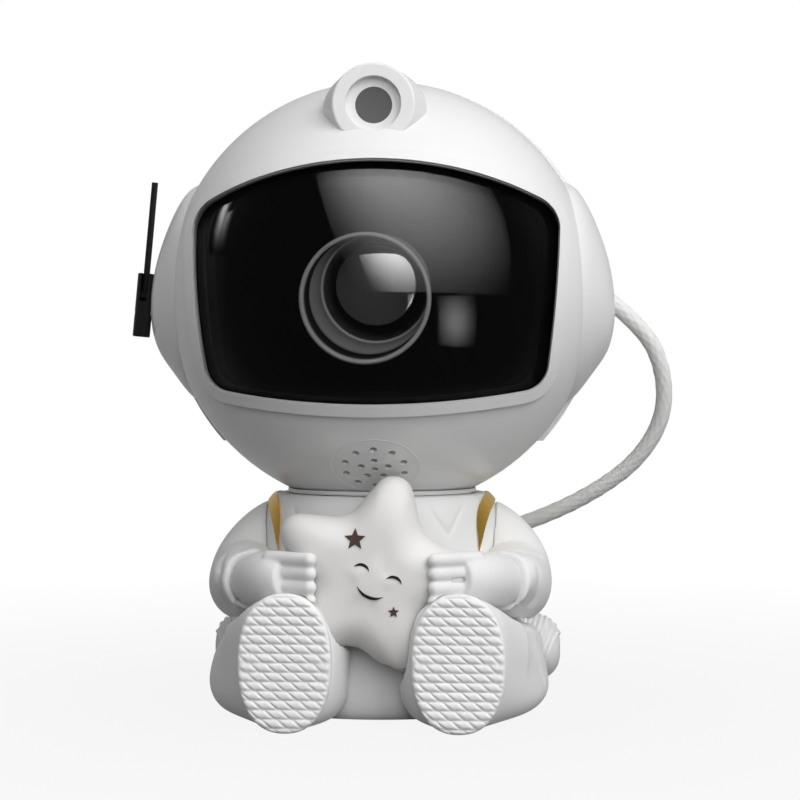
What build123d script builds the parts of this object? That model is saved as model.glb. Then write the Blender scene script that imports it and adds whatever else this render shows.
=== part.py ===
from build123d import *
from math import copysign, cos, hypot, pi, radians, sin, sqrt, tan
import os

# A star and nebula projector in the form of a seated astronaut who hugs a puffy star.
# Millimetres. +Z is up, the astronaut faces -Y, +X is on the viewer's right.
# The origin is on the neck's swivel axis, in the plane of the table.

os.makedirs("parts", exist_ok=True)

# ---------------------------------------------------------------- driving dimensions

# clearances
slide_gap = 0.3  # between bodies that move past each other
seat_gap = 0.05  # between pieces that are seated in each other
running_gap = 0.05  # shaft in its hole, radial

# helmet
head_r = 73.0
head_foot_z = 66.5  # lowest point of the head's sphere
head_z = head_foot_z + head_r
shell_wall = 2.6
seam_y = 4.0
rear_proud = 1.8
rear_step_drop = 50.0  # the proud part of the rear shell ends this far below the centre
lip_height = 3.0
lip_wall = 1.2

# visor
visor_top = head_r - 35.0
visor_bottom = 36.2 - head_r
visor_upper_corner = (head_r - 14.4, head_r - 47.8)
visor_lower_corner = (head_r - 19.2, 41.8 - head_r)
visor_side_bow = 0.7
visor_corner_r = 9.0
visor_recess = 1.5
visor_thickness = 2.0
gasket_width = 1.1
rim_width = 3.4
rim_proud = 1.3

# laser boss on the forehead
boss_r = 13.1
boss_root = (16.6, 13.6)  # half width and half height where the boss grows out of the dome
boss_root_depth = 9.0
boss_edge_r = 0.9
boss_tilt = 3.0
boss_face_y = 20.0 - head_r
boss_face_z = head_r - 15.2  # above the head's centre
boss_length = 24.0
recess_r = 8.9
recess_depth = 2.8
window_r = 5.9
window_thickness = 1.6
laser_length = 14.0

# loudspeaker in the chin
speaker_latitude = 52.8
speaker_hole_r = 1.15
speaker_ring_radii = (4.5, 9.8)
speaker_ring_counts = (5, 10)
speaker_r = 14.0
speaker_seat_depth = 4.0  # from the shell's outside to the seat's face, at the middle

# ear covers: distance out past the dome, centre (y, z above the head's centre), radius
ear_stations = (
    (-13.0, 7.0, 1.0, 38.7),
    (-7.0, 7.0, 1.4, 36.4),
    (-2.5, 6.0, 1.0, 30.6),
    (2.0, 5.0, -1.0, 22.4),
    (5.3, 4.0, -3.4, 13.8),
    (6.8, 3.0, -5.0, 5.0),
)

# antenna on the left ear
peg_y = 3.0
peg_z = 134.0
peg_r = 1.2
ear_button_r = 3.0
barrel_r = 3.0
barrel_lean = 5.2
barrel_above = 13.7
barrel_below = 8.4
barrel_stand_off = 0.75
slot_width = 2.5
slot_depth = 9.6
rod_r = 1.1
rod_length = 39.5
rod_pin_above = 6.0
rod_pin_r = 0.6
knuckle_r = 1.55

# neck
cup_seat_gap = 0.4
collar_r = 32.3
collar_top = 76.7
cup_r = 31.0
cup_bottom = 60.0
magnet_r = 12.0
magnet_thickness = 3.5
magnet_floor = 2.4  # under the magnet
spindle_r = 6.0
spindle_bottom = 47.5
bush_wall = 2.6
neck_screw_head_r = 8.0
neck_screw_head = 2.4
neck_screw_r = 2.0
steel_cap_r = 18.0
steel_cap_thickness = 1.2

# projector module
bulkhead_y = -22.0
bulkhead_thickness = 2.4
bulkhead_rim_gap = 0.3
bulkhead_screw_margin = 4.4  # from a screw's axis to the bulkhead's edge
bulkhead_boss_r = 3.0
lens_z = 1.5  # above the head's centre
lens_r = 13.3
lens_dome_r = 15.0
lens_flat_y = -24.0
hood_front_y = -50.0
hood_step_y = -38.0
hood_front_r = 21.4
hood_step_r = 16.4
hood_wall = 1.5
hood_front_shift = (-2.9, -5.3)
hood_step_shift = (-1.2, -2.3)
gear_module = 1.2
disc_teeth = 48
pinion_teeth = 12
disc_y = -12.0
disc_thickness = 2.0
disc_hub_r = 5.0
disc_hub_length = 6.0
axle_r = 2.0
pinion_direction = -22.0
plate_y = -7.0
plate_thickness = 2.0
post_r = 2.5
post_half_span = 35.0
post_up = 20.0
post_down = -17.0
motor_r = 10.0
motor_length = 15.0
motor_shaft_r = 1.0
led_board_side = 40.0
led_board_height = 36.0
board_thickness = 1.6
condenser_r = 9.5
condenser_dome_r = 12.0
fin_count = 9
fin_depth = 11.0
sink_base = 3.0
main_board_y = 36.0
main_board_size = (66.0, 42.0)

# torso: height, half width, half depth
torso_stations = (
    (34.0, 43.0, 37.0),
    (50.0, 42.0, 36.5),
    (62.0, 40.5, 36.0),
    (68.0, 39.0, 35.5),
    (72.0, 36.0, 33.5),
)
strap_thickness = 0.9
# right strap's outline (x, z): down its inner edge to the tip, then up its outer edge
strap_outline = (
    (35.6, 72.0),
    (33.8, 69.0),
    (33.0, 64.0),
    (33.6, 53.5),
    (35.4, 60.5),
    (37.4, 66.5),
    (39.4, 70.2),
    (40.2, 72.0),
)
strap_tip = 3  # the tip's place in the outline

# hips: height, half width, half depth
hip_stations = (
    (1.0, 50.0, 43.5),
    (4.5, 53.5, 45.2),
    (12.0, 54.0, 45.0),
    (20.0, 52.5, 43.5),
    (28.0, 48.0, 40.0),
    (34.0, 43.0, 37.0),
)
base_opening = (42.0, 29.0)
base_thickness = 2.4
base_rib_width = 1.6
base_rib_length = 40.0
base_rib_height = 2.0
pad_size = (30.0, 20.0)
pad_thickness = 1.0
hip_cavity_top = 24.0
ballast_thickness = 12.0
service_bore_r = 11.0
base_screw_x = 34.0
base_screw_y = 9.0
base_screw_r = 1.3
base_boss_r = 3.2

# right arm; the left one is its mirror image
sleeve_path = (
    (28.6, 0.0, 60.6, 8.8),
    (37.6, -1.0, 57.6, 10.9),
    (43.3, -4.5, 50.2, 12.2),
    (45.0, -11.0, 44.2, 12.8),
    (44.0, -23.0, 43.0, 12.2),
    (39.5, -35.0, 44.8, 10.4),
)
glove_path = (
    (39.8, -34.2, 44.7, 8.6),
    (36.0, -42.0, 46.0, 8.8),
    (31.0, -49.5, 47.0, 8.3),
    (26.5, -54.0, 47.3, 6.4),
)
finger_r = 2.35
finger_pitch = 4.3
finger_count = 4
finger_root = (33.0, -51.5)
finger_tip = (19.5, -60.3)
finger_mid_z = 47.2

# right leg: y, centre x, centre z, half width, half height, power of the section's curve
leg_stations = (
    (4.0, 41.0, 14.8, 16.0, 13.2, 2.6),
    (-10.0, 40.4, 15.2, 17.4, 14.6, 3.4),
    (-24.0, 36.6, 16.2, 20.0, 15.6, 4.0),
    (-40.0, 30.2, 17.4, 21.2, 16.8, 4.4),
    (-53.0, 27.0, 20.2, 18.4, 19.8, 3.3),
    (-62.0, 27.0, 21.8, 14.6, 21.4, 2.3),
)
sole_thickness = 2.6
sole_size = (14.6, 21.7)
sole_border = 0.7  # left smooth round the treaded cells
tread_height = 0.8
tread_row_pitch = 3.14
tread_cell_pitch = 5.3
tread_groove = 0.7
tread_slope = 31.0

# star
star_x = -0.5
star_z = 46.5
star_turn = -14.0
star_tip_r = 42.0
star_valley_r = 21.0
star_tip_fillet = 6.5
star_valley_fillet = 9.0
# y, scale of the outline
star_stations = (
    (-37.6, 0.78),
    (-41.0, 0.93),
    (-47.0, 1.0),
    (-53.0, 0.95),
    (-57.5, 0.80),
    (-60.0, 0.52),
    (-60.8, 0.16),
)
print_thickness = 0.25
# closed eyes and smile as crescents: start, crown, end (x, z)
smile_strokes = (
    ((-5.6, 51.6), (-3.3, 52.8), (-0.8, 50.2)),
    ((4.5, 47.9), (7.0, 48.9), (9.3, 46.2)),
    ((-4.5, 45.6), (0.2, 41.4), (3.7, 42.3)),
)
smile_width = 0.9
# little stars: x, z, tip radius
motif_places = ((-5.3, 60.1, 3.5), (6.8, 37.5, 1.8))

# backpack
pack_size = (64.0, 26.0, 46.0)
pack_centre = (0.0, 46.0, 47.0)
pack_corner_r = 8.0
pack_wall = 2.4
pack_post_span = (44.0, 30.0)
button_r = 4.4
button_pitch = 15.0
button_z = 58.0
button_travel = 0.8
button_proud = 1.4
socket_size = (9.2, 7.0, 3.4)
socket_z = 33.0
roll_y = 37.5
roll_z = 13.6
roll_r = 11.8
roll_half_length = 62.8
roll_end_r = 9.0
rib_count = 6
rib_pitch = 2.7
rib_r = 0.8

# hose from the right ear to the backpack
hose_r = 2.9
hose_hole_gap = 0.1
hose_route = (
    (76.5, 4.5, 139.5),
    (91.0, 8.0, 128.5),
    (98.1, 12.5, 113.5),
    (98.5, 18.0, 97.0),
    (89.5, 24.5, 81.5),
    (73.5, 31.5, 69.5),
    (55.5, 38.5, 60.5),
    (40.5, 43.5, 55.5),
    (28.5, 46.0, 53.0),
)


# ---------------------------------------------------------------- shared planes and shapes

inner_r = head_r - shell_wall
head_at = Location((0, 0, head_z))
bulkhead_r = sqrt(inner_r**2 - bulkhead_y**2) - bulkhead_rim_gap
bulkhead_screw_at = (bulkhead_r - bulkhead_screw_margin) / sqrt(2)
squarish_steps = 16  # points round each section of a limb with flattened sides
poles_on_depth = (90, 0, 0)  # turns a sphere so that its poles lie on the depth axis


def facing_front(y, x=0.0, z=head_z):
    """A sketch plane across the depth axis, seen from the front: local x is +X, local y is +Z."""
    return Plane(origin=(x, y, z), x_dir=(1, 0, 0), z_dir=(0, -1, 0))


def facing_side(x, y, z, side):
    """A sketch plane across the width axis, facing outward on the given side (+1 right)."""
    return Plane(origin=(x, y, z), x_dir=(0, side, 0), z_dir=(side, 0, 0))


def squarish(half_width, half_height, power):
    """Points round a closed curve that is an ellipse at power 2 and squarer above it."""
    points = []
    for step in range(squarish_steps):
        across = cos(radians(360 * step / squarish_steps))
        up = sin(radians(360 * step / squarish_steps))
        points.append((
            half_width * copysign(abs(across) ** (2 / power), across),
            half_height * copysign(abs(up) ** (2 / power), up),
        ))
    return points


def save(builder, name):
    """Labels a finished piece and writes it as its own node."""
    builder.part.label = name
    export_step(builder.part, f"parts/{name}.step")
    print(name, "volume", round(builder.part.volume))


def circle_through(first, second, third):
    """Centre and radius of the circle through three points of a plane."""
    (ax, ay), (bx, by), (cx, cy) = first, second, third
    twice_area = 2 * (ax * (by - cy) + bx * (cy - ay) + cx * (ay - by))
    a_square, b_square, c_square = ax**2 + ay**2, bx**2 + by**2, cx**2 + cy**2
    centre = (
        (a_square * (by - cy) + b_square * (cy - ay) + c_square * (ay - by)) / twice_area,
        (a_square * (cx - bx) + b_square * (ax - cx) + c_square * (bx - ax)) / twice_area,
    )
    return centre, hypot(ax - centre[0], ay - centre[1])


def visor_outline(grow):
    """The visor's outline on the plane through the head's centre, grown by the given amount.

    It is what four large discs have in common, with its four corners rounded.
    """
    (ux, uz), (lx, lz) = visor_upper_corner, visor_lower_corner
    side_middle = ((ux + lx) / 2 + visor_side_bow, (uz + lz) / 2)
    top_centre, top_r = circle_through((-ux, uz), (0, visor_top), (ux, uz))
    bottom_centre, bottom_r = circle_through((-lx, lz), (0, visor_bottom), (lx, lz))
    (side_x, side_z), side_r = circle_through((ux, uz), side_middle, (lx, lz))
    with BuildSketch(facing_front(0)) as outline:
        with Locations(top_centre):
            Circle(top_r + grow)
        for centre, radius in (
            (bottom_centre, bottom_r),
            ((side_x, side_z), side_r),
            ((-side_x, side_z), side_r),
        ):
            with Locations(centre):
                Circle(radius + grow, mode=Mode.INTERSECT)
        fillet(outline.vertices(), visor_corner_r + grow)
    return outline.sketch


def elliptic_body(stations, grow=0.0):
    """A smooth upright body through elliptic sections."""
    with BuildPart() as body:
        for height, half_width, half_depth in stations:
            with BuildSketch(Plane.XY.offset(height)):
                Ellipse(half_width + grow, half_depth + grow)
        loft()
    return body.part


def limb(path):
    """A smooth limb through circles, each square to the path at its own point."""
    points = [Vector(*station[:3]) for station in path]
    with BuildPart() as body:
        for number, (x, y, z, radius) in enumerate(path):
            before = points[max(number - 1, 0)]
            after = points[min(number + 1, len(points) - 1)]
            with BuildSketch(Plane(origin=(x, y, z), z_dir=after - before)):
                Circle(radius)
        loft()
    return body.part


def gear_outline(teeth, module, turn=0.0):
    """Corner points of a straight-flanked gear; the first tooth points along the turn angle."""
    pitch_r = teeth * module / 2
    tip_r, root_r = pitch_r + 0.9 * module, pitch_r - 1.15 * module
    pitch_angle = 360 / teeth
    half_tip, half_root = 0.13 * pitch_angle, 0.33 * pitch_angle
    corners = []
    for tooth in range(teeth):
        middle = turn + tooth * pitch_angle
        for radius, angle in (
            (root_r, middle - half_root),
            (tip_r, middle - half_tip),
            (tip_r, middle + half_tip),
            (root_r, middle + half_root),
        ):
            corners.append((radius * cos(radians(angle)), radius * sin(radians(angle))))
    return corners


# ---------------------------------------------------------------- helmet

boss_axis = Vector(0, -cos(radians(boss_tilt)), sin(radians(boss_tilt)))
boss_plane = Plane(
    origin=(0, boss_face_y, head_z + boss_face_z), x_dir=(1, 0, 0), z_dir=boss_axis
)
speaker_axis = Vector(0, -cos(radians(speaker_latitude)), -sin(radians(speaker_latitude)))
speaker_plane = Plane(
    origin=Vector(0, 0, head_z) + speaker_axis * (head_r - speaker_seat_depth),
    x_dir=(1, 0, 0),
    z_dir=speaker_axis,
)
opening_grow = gasket_width + seat_gap

with BuildPart() as rim_bead:
    with Locations(head_at):
        Sphere(head_r + rim_proud, rotation=poles_on_depth)
    extrude(visor_outline(opening_grow + rim_width), amount=head_r + 5, mode=Mode.INTERSECT)

with BuildPart() as forehead_boss:
    with BuildSketch(boss_plane.offset(-boss_length)):
        Ellipse(*boss_root)
    with BuildSketch(boss_plane.offset(-boss_root_depth)):
        Ellipse(*boss_root)
    with BuildSketch(boss_plane):
        Circle(boss_r)
    loft(ruled=True)
    fillet(forehead_boss.faces().sort_by(Axis.Y)[0].edges(), boss_edge_r)

with BuildPart() as helmet_front_shell:
    with Locations(head_at):
        Sphere(head_r, rotation=poles_on_depth)
    # forehead boss, flared sideways where it meets the dome
    add(forehead_boss.part)
    add(rim_bead.part)
    with Locations(head_at):
        Sphere(inner_r, rotation=poles_on_depth, mode=Mode.SUBTRACT)
    # laser tube inside the boss, and the seat ring of the loudspeaker
    with BuildSketch(boss_plane.offset(-recess_depth)):
        Circle(window_r + 2.2)
    extrude(amount=recess_depth - boss_length)
    with BuildSketch(speaker_plane):
        Circle(speaker_r + 0.4)
        Circle(speaker_r - 1.6, mode=Mode.SUBTRACT)
    extrude(amount=speaker_seat_depth - shell_wall / 2)
    # screw bosses that carry the bulkhead
    boss_far_r = bulkhead_screw_at * sqrt(2) + bulkhead_boss_r
    boss_reach = sqrt((head_r - shell_wall / 2) ** 2 - boss_far_r**2)
    with BuildSketch(facing_front(bulkhead_y)):
        with GridLocations(2 * bulkhead_screw_at, 2 * bulkhead_screw_at, 2, 2):
            Circle(bulkhead_boss_r)
            Circle(1.1, mode=Mode.SUBTRACT)
    extrude(amount=boss_reach + bulkhead_y)
    # openings
    extrude(visor_outline(opening_grow), amount=head_r + 5, mode=Mode.SUBTRACT)
    with BuildSketch(boss_plane):
        Circle(recess_r)
    extrude(amount=-recess_depth, mode=Mode.SUBTRACT)
    with BuildSketch(boss_plane):
        Circle(recess_r)
    extrude(amount=12, mode=Mode.SUBTRACT)
    with BuildSketch(boss_plane):
        Circle(window_r)
    extrude(amount=-boss_length - 12, mode=Mode.SUBTRACT)
    with BuildSketch(speaker_plane):
        Circle(speaker_hole_r)
        for ring_r, holes in zip(speaker_ring_radii, speaker_ring_counts):
            with PolarLocations(ring_r, holes, start_angle=90):
                Circle(speaker_hole_r)
    extrude(amount=head_r, mode=Mode.SUBTRACT)
    # everything behind the seam belongs to the rear shell
    with BuildSketch(facing_front(seam_y)):
        Rectangle(3 * head_r, 3 * head_r)
    extrude(amount=-2 * head_r, mode=Mode.SUBTRACT)

board_post_x = main_board_size[0] / 2 - 4
board_post_z = main_board_size[1] / 2 - 4
with BuildPart() as helmet_rear_shell:
    with Locations(head_at):
        Sphere(head_r + rear_proud, rotation=poles_on_depth)
    with BuildSketch(facing_front(seam_y)):
        Rectangle(3 * head_r, 3 * head_r)
    extrude(amount=2 * head_r, mode=Mode.SUBTRACT)
    # below the step the rear shell is flush with the front one, so it slides in the neck cup
    with BuildPart(mode=Mode.PRIVATE) as low_zone:
        with Locations((0, 0, head_z - rear_step_drop - head_r)):
            Box(3 * head_r, 3 * head_r, 2 * head_r)
        with Locations(head_at):
            Sphere(head_r, rotation=poles_on_depth, mode=Mode.SUBTRACT)
    add(low_zone.part, mode=Mode.SUBTRACT)
    with Locations(head_at):
        Sphere(inner_r, rotation=poles_on_depth, mode=Mode.SUBTRACT)
    # posts of the main board
    with BuildSketch(facing_front(main_board_y + board_thickness)):
        with GridLocations(2 * board_post_x, 2 * board_post_z, 2, 2):
            Circle(3.0)
    extrude(amount=-(sqrt(head_r**2 - board_post_x**2 - board_post_z**2) - main_board_y - 3.0))
    # lip that centres the front shell: its root in the rear shell, its edge inside the front one
    for outer_r, from_y in ((inner_r + 0.5, seam_y), (inner_r - seat_gap, seam_y - lip_height)):
        with BuildPart(mode=Mode.PRIVATE) as lip:
            with Locations(head_at):
                Sphere(outer_r, rotation=poles_on_depth)
                Sphere(inner_r - lip_wall, rotation=poles_on_depth, mode=Mode.SUBTRACT)
            with Locations((0, (from_y + seam_y + lip_height) / 2, head_z)):
                Box(3 * head_r, seam_y + lip_height - from_y, 3 * head_r, mode=Mode.INTERSECT)
        add(lip.part)

save(helmet_front_shell, "helmet_front_shell")

# gasket and glass share the visor's outline; both are slices of a dome inside the shell
glass_r = head_r - visor_recess
with BuildPart() as visor_glass:
    with Locations(head_at):
        Sphere(glass_r)
        Sphere(glass_r - visor_thickness, mode=Mode.SUBTRACT)
    extrude(visor_outline(0), amount=head_r, mode=Mode.INTERSECT)
save(visor_glass, "visor_glass")

with BuildPart() as visor_gasket:
    with Locations(head_at):
        Sphere(glass_r + 0.9)
        Sphere(glass_r - visor_thickness, mode=Mode.SUBTRACT)
    extrude(visor_outline(gasket_width), amount=head_r, mode=Mode.INTERSECT)
    extrude(visor_outline(seat_gap), amount=head_r, mode=Mode.SUBTRACT)
save(visor_gasket, "visor_gasket")


# ---------------------------------------------------------------- ears, hose

hose_hole_r = hose_r + hose_hole_gap
hose_start, hose_second = Vector(*hose_route[0]), Vector(*hose_route[1])
hose_end, hose_before_end = Vector(*hose_route[-1]), Vector(*hose_route[-2])


def ear_cover(side):
    """A round cover that swells out of the helmet; the apex sits a little low and forward."""
    with BuildPart() as cover:
        for out, y, up, radius in ear_stations:
            with BuildSketch(facing_side(side * (head_r + out), y, head_z + up, 1)):
                Circle(radius)
        loft()
        with Locations(head_at):
            Sphere(head_r, rotation=poles_on_depth, mode=Mode.SUBTRACT)
        add(helmet_rear_shell.part, mode=Mode.SUBTRACT)
    return cover.part


with BuildPart() as ear_cover_right:
    add(ear_cover(1))
    with BuildSketch(Plane(origin=hose_start, z_dir=hose_second - hose_start)):
        Circle(hose_hole_r)
    extrude(amount=(hose_second - hose_start).length, mode=Mode.SUBTRACT)

save(helmet_rear_shell, "helmet_rear_shell")
save(ear_cover_right, "ear_cover_right")

ear_apex = head_r + ear_stations[-1][0]
barrel_x = -(ear_apex + barrel_stand_off + barrel_r)
lean = radians(barrel_lean)
barrel_up = Vector(sin(lean), 0, cos(lean))
barrel_plane = Plane(origin=(barrel_x, peg_y, peg_z), x_dir=(cos(lean), 0, -sin(lean)), z_dir=barrel_up)
with BuildPart() as ear_cover_left:
    add(ear_cover(-1))
    with BuildSketch(facing_side(-ear_apex + 0.5, peg_y, peg_z, -1)):
        Circle(ear_button_r)
    extrude(amount=0.5 + barrel_stand_off - slide_gap)
    with BuildSketch(facing_side(-ear_apex, peg_y, peg_z, -1)):
        Circle(peg_r)
    extrude(amount=barrel_stand_off + 1.6 * barrel_r)
save(ear_cover_left, "ear_cover_left")

rod_pin_at = Vector(barrel_x, peg_y, peg_z) + barrel_up * rod_pin_above
with BuildPart() as antenna_barrel:
    with BuildSketch(barrel_plane.offset(-barrel_below)):
        Circle(barrel_r)
    extrude(amount=barrel_below + barrel_above)
    chamfer(antenna_barrel.edges().filter_by(GeomType.CIRCLE), 0.3)
    # slot for the rod, open at the top and to the front
    with BuildSketch(barrel_plane.offset(barrel_above - slot_depth)):
        with Locations((0, knuckle_r + slide_gap - 2 * barrel_r)):
            Rectangle(slot_width, 4 * barrel_r)
    extrude(amount=slot_depth + 1, mode=Mode.SUBTRACT)
    with BuildSketch(facing_side(barrel_x - 2 * barrel_r, peg_y, peg_z, 1)):
        Circle(peg_r + running_gap)
    extrude(amount=4 * barrel_r, mode=Mode.SUBTRACT)
    with BuildSketch(Plane(origin=rod_pin_at, z_dir=barrel_plane.x_dir)):
        Circle(rod_pin_r)
    extrude(amount=2 * barrel_r, both=True, mode=Mode.SUBTRACT)
save(antenna_barrel, "antenna_barrel")

with BuildPart() as antenna_pin:
    with BuildSketch(Plane(origin=rod_pin_at, z_dir=barrel_plane.x_dir)):
        Circle(rod_pin_r)
    extrude(amount=barrel_r - 0.35, both=True)
save(antenna_pin, "antenna_pin")

with BuildPart() as antenna_rod:
    with BuildSketch(Plane(origin=rod_pin_at, x_dir=barrel_plane.x_dir, z_dir=barrel_up)):
        Circle(rod_r)
    extrude(amount=rod_length)
    with BuildSketch(Plane(origin=rod_pin_at, z_dir=barrel_plane.x_dir)):
        Circle(knuckle_r)
    extrude(amount=slot_width / 2 - 0.1, both=True)
    with BuildSketch(Plane(origin=rod_pin_at, z_dir=barrel_plane.x_dir)):
        Circle(rod_pin_r + running_gap)
    extrude(amount=barrel_r, both=True, mode=Mode.SUBTRACT)
save(antenna_rod, "antenna_rod")

hose_points = [Vector(*point) for point in hose_route]
hose_radii = []
for before, here, after in zip(hose_points, hose_points[1:], hose_points[2:]):
    turn = radians((here - before).get_angle(after - here))
    shorter = min((here - before).length, (after - here).length)
    hose_radii.append(0.45 * shorter / tan(turn / 2))
print("hose bend radii", [round(radius, 1) for radius in hose_radii])
with BuildPart() as hose:
    with BuildLine() as hose_line:
        FilletPolyline(*hose_route, radius=hose_radii)
    with BuildSketch(Plane(origin=hose_start, z_dir=hose_second - hose_start)):
        Circle(hose_r)
    sweep()
hose_length = hose_line.wire().length
print("hose length", round(hose_length, 1), "volume against section times length",
      round(hose.part.volume / (pi * hose_r**2 * hose_length), 4))
save(hose, "hose")


# ---------------------------------------------------------------- projector inside the helmet

def lens_side(y, shift=(0.0, 0.0)):
    """A sketch plane across the optical axis at depth y, moved sideways by the given shift."""
    return facing_front(y, shift[0], head_z + lens_z + shift[1])


disc_pitch_r = disc_teeth * gear_module / 2
pinion_pitch_r = pinion_teeth * gear_module / 2
gear_distance = disc_pitch_r + pinion_pitch_r + 0.1
disc_axis_z = lens_z - (disc_pitch_r + disc_hub_r) / 2
pinion_x = gear_distance * cos(radians(pinion_direction))
pinion_z = disc_axis_z + gear_distance * sin(radians(pinion_direction))
bulkhead_back = bulkhead_y + bulkhead_thickness
hood_rear_r = lens_r + seat_gap + hood_wall

with BuildPart() as bulkhead:
    with BuildSketch(facing_front(bulkhead_back)):
        Circle(bulkhead_r)
        with Locations((0, lens_z)):
            Circle(lens_r - 1.5, mode=Mode.SUBTRACT)
        with GridLocations(2 * bulkhead_screw_at, 2 * bulkhead_screw_at, 2, 2):
            Circle(1.3, mode=Mode.SUBTRACT)
    extrude(amount=bulkhead_thickness)
    # axle of the ripple disc
    with BuildSketch(facing_front(bulkhead_back, 0, head_z + disc_axis_z)):
        Circle(axle_r + 1.5)
    extrude(amount=-1.4)
    with BuildSketch(facing_front(bulkhead_back, 0, head_z + disc_axis_z)):
        Circle(axle_r)
    extrude(amount=-(plate_y - bulkhead_back - slide_gap))
save(bulkhead, "bulkhead")

with BuildPart() as bulkhead_screws:
    with BuildSketch(facing_front(bulkhead_back)):
        with GridLocations(2 * bulkhead_screw_at, 2 * bulkhead_screw_at, 2, 2):
            Circle(2.2)
    extrude(amount=-1.6)
    with BuildSketch(facing_front(bulkhead_back)):
        with GridLocations(2 * bulkhead_screw_at, 2 * bulkhead_screw_at, 2, 2):
            Circle(1.05)
    extrude(amount=bulkhead_thickness + 5)
save(bulkhead_screws, "bulkhead_screws")

with BuildPart() as lens_hood:
    for y, shift, radius in (
        (bulkhead_y, (0, 0), hood_rear_r),
        (hood_step_y, hood_step_shift, hood_step_r + 2.4),
        (hood_front_y, hood_front_shift, hood_front_r),
    ):
        with BuildSketch(lens_side(y, shift)):
            Circle(radius)
    loft(ruled=True)
    with BuildSketch(lens_side(bulkhead_y)):
        Circle(hood_rear_r + 4)
    extrude(amount=1.6)
    # the funnel in front of the lens, with one step
    for y, shift, radius in (
        (hood_step_y + 1.5, hood_step_shift, hood_step_r),
        (hood_front_y, hood_front_shift, hood_front_r - hood_wall),
    ):
        with BuildSketch(lens_side(y, shift)):
            Circle(radius)
    loft(ruled=True, mode=Mode.SUBTRACT)
    with BuildSketch(lens_side(bulkhead_y)):
        Circle(lens_r + seat_gap)
    extrude(amount=-(hood_step_y - bulkhead_y), mode=Mode.SUBTRACT)
save(lens_hood, "lens_hood")

lens_shoulder = sqrt(lens_dome_r**2 - lens_r**2)
with BuildPart() as dome_lens:
    with Locations((0, lens_flat_y, head_z + lens_z)):
        Sphere(lens_dome_r)
    with BuildSketch(lens_side(lens_flat_y)):
        Circle(lens_r)
    extrude(amount=lens_dome_r + 1, mode=Mode.INTERSECT)
    with BuildSketch(lens_side(bulkhead_y)):
        Circle(lens_r)
        Circle(lens_r - 1.5, mode=Mode.SUBTRACT)
    extrude(amount=bulkhead_y - lens_flat_y + 0.2)
save(dome_lens, "dome_lens")

with BuildPart() as ripple_disc:
    disc_plane = facing_front(disc_y, 0, head_z + disc_axis_z)
    with BuildSketch(disc_plane):
        with BuildLine():
            Polyline(*gear_outline(disc_teeth, gear_module), close=True)
        make_face()
    extrude(amount=disc_thickness)
    # raised rings that ripple the light
    with BuildSketch(disc_plane.offset(disc_thickness)):
        for ring_r in (10.0, 15.0, 20.0):
            Circle(ring_r + 0.8)
            Circle(ring_r - 0.8, mode=Mode.SUBTRACT)
    extrude(amount=0.5)
    with BuildSketch(disc_plane.offset(disc_thickness / 2 - disc_hub_length / 2)):
        Circle(disc_hub_r)
    extrude(amount=disc_hub_length)
    with BuildSketch(disc_plane.offset(-disc_hub_length)):
        Circle(axle_r + running_gap)
    extrude(amount=3 * disc_hub_length, mode=Mode.SUBTRACT)
save(ripple_disc, "ripple_disc")

with BuildPart() as motor_pinion:
    pinion_plane = facing_front(disc_y + 0.5, pinion_x, head_z + pinion_z)
    with BuildSketch(pinion_plane):
        with BuildLine():
            # a tooth gap of the pinion faces the tooth of the disc that stands at the mesh
            toward_disc = pinion_direction + 180
            disc_phase = (pinion_direction % (360 / disc_teeth)) / (360 / disc_teeth)
            pinion_turn = toward_disc + (0.5 - disc_phase) * 360 / pinion_teeth * -1
            Polyline(*gear_outline(pinion_teeth, gear_module, pinion_turn), close=True)
        make_face()
        Circle(motor_shaft_r + running_gap, mode=Mode.SUBTRACT)
    extrude(amount=disc_thickness + 1.0)
save(motor_pinion, "motor_pinion")

post_places = [
    (side * post_half_span, up) for side in (-1, 1) for up in (post_up, post_down)
]
plate_front = facing_front(plate_y)
with BuildPart() as module_plate:
    with BuildSketch(facing_front(plate_y + plate_thickness)) as plate_outline:
        with BuildLine():
            Polyline(
                (-post_half_span - 4, post_up + 4),
                (post_half_span + 4, post_up + 4),
                (pinion_x + 13, pinion_z + 10),
                (pinion_x + 13, pinion_z - 11),
                (pinion_x - 12, pinion_z - 11),
                (-post_half_span - 4, post_down - 4),
                close=True,
            )
        make_face()
        fillet(plate_outline.vertices(), 3.0)
        with Locations((0, lens_z)):
            Circle(condenser_r + seat_gap, mode=Mode.SUBTRACT)
        with Locations((pinion_x, pinion_z)):
            Circle(motor_shaft_r + 1.5, mode=Mode.SUBTRACT)
    extrude(amount=plate_thickness)
    with BuildSketch(plate_front):
        with Locations(*post_places):
            Circle(post_r)
    extrude(amount=plate_y - bulkhead_back)
save(module_plate, "module_plate")

with BuildPart() as spin_motor:
    with BuildSketch(facing_front(plate_y + plate_thickness, pinion_x, head_z + pinion_z)):
        Circle(motor_r)
    extrude(amount=-motor_length)
    chamfer(spin_motor.edges().filter_by(GeomType.CIRCLE), 0.8)
    with BuildSketch(facing_front(plate_y + plate_thickness, pinion_x, head_z + pinion_z)):
        Circle(motor_shaft_r)
    extrude(amount=plate_y + plate_thickness - disc_y + disc_thickness + 1.5)
save(spin_motor, "spin_motor")

led_front = plate_y + plate_thickness
with BuildPart() as led_board:
    with BuildSketch(lens_side(led_front + board_thickness)):
        RectangleRounded(led_board_side, led_board_height, 2)
    extrude(amount=board_thickness)
    with BuildSketch(lens_side(led_front)):
        with GridLocations(5.0, 5.0, 2, 2):
            Rectangle(3.0, 3.0)
    extrude(amount=0.8)
save(led_board, "led_board")

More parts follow.
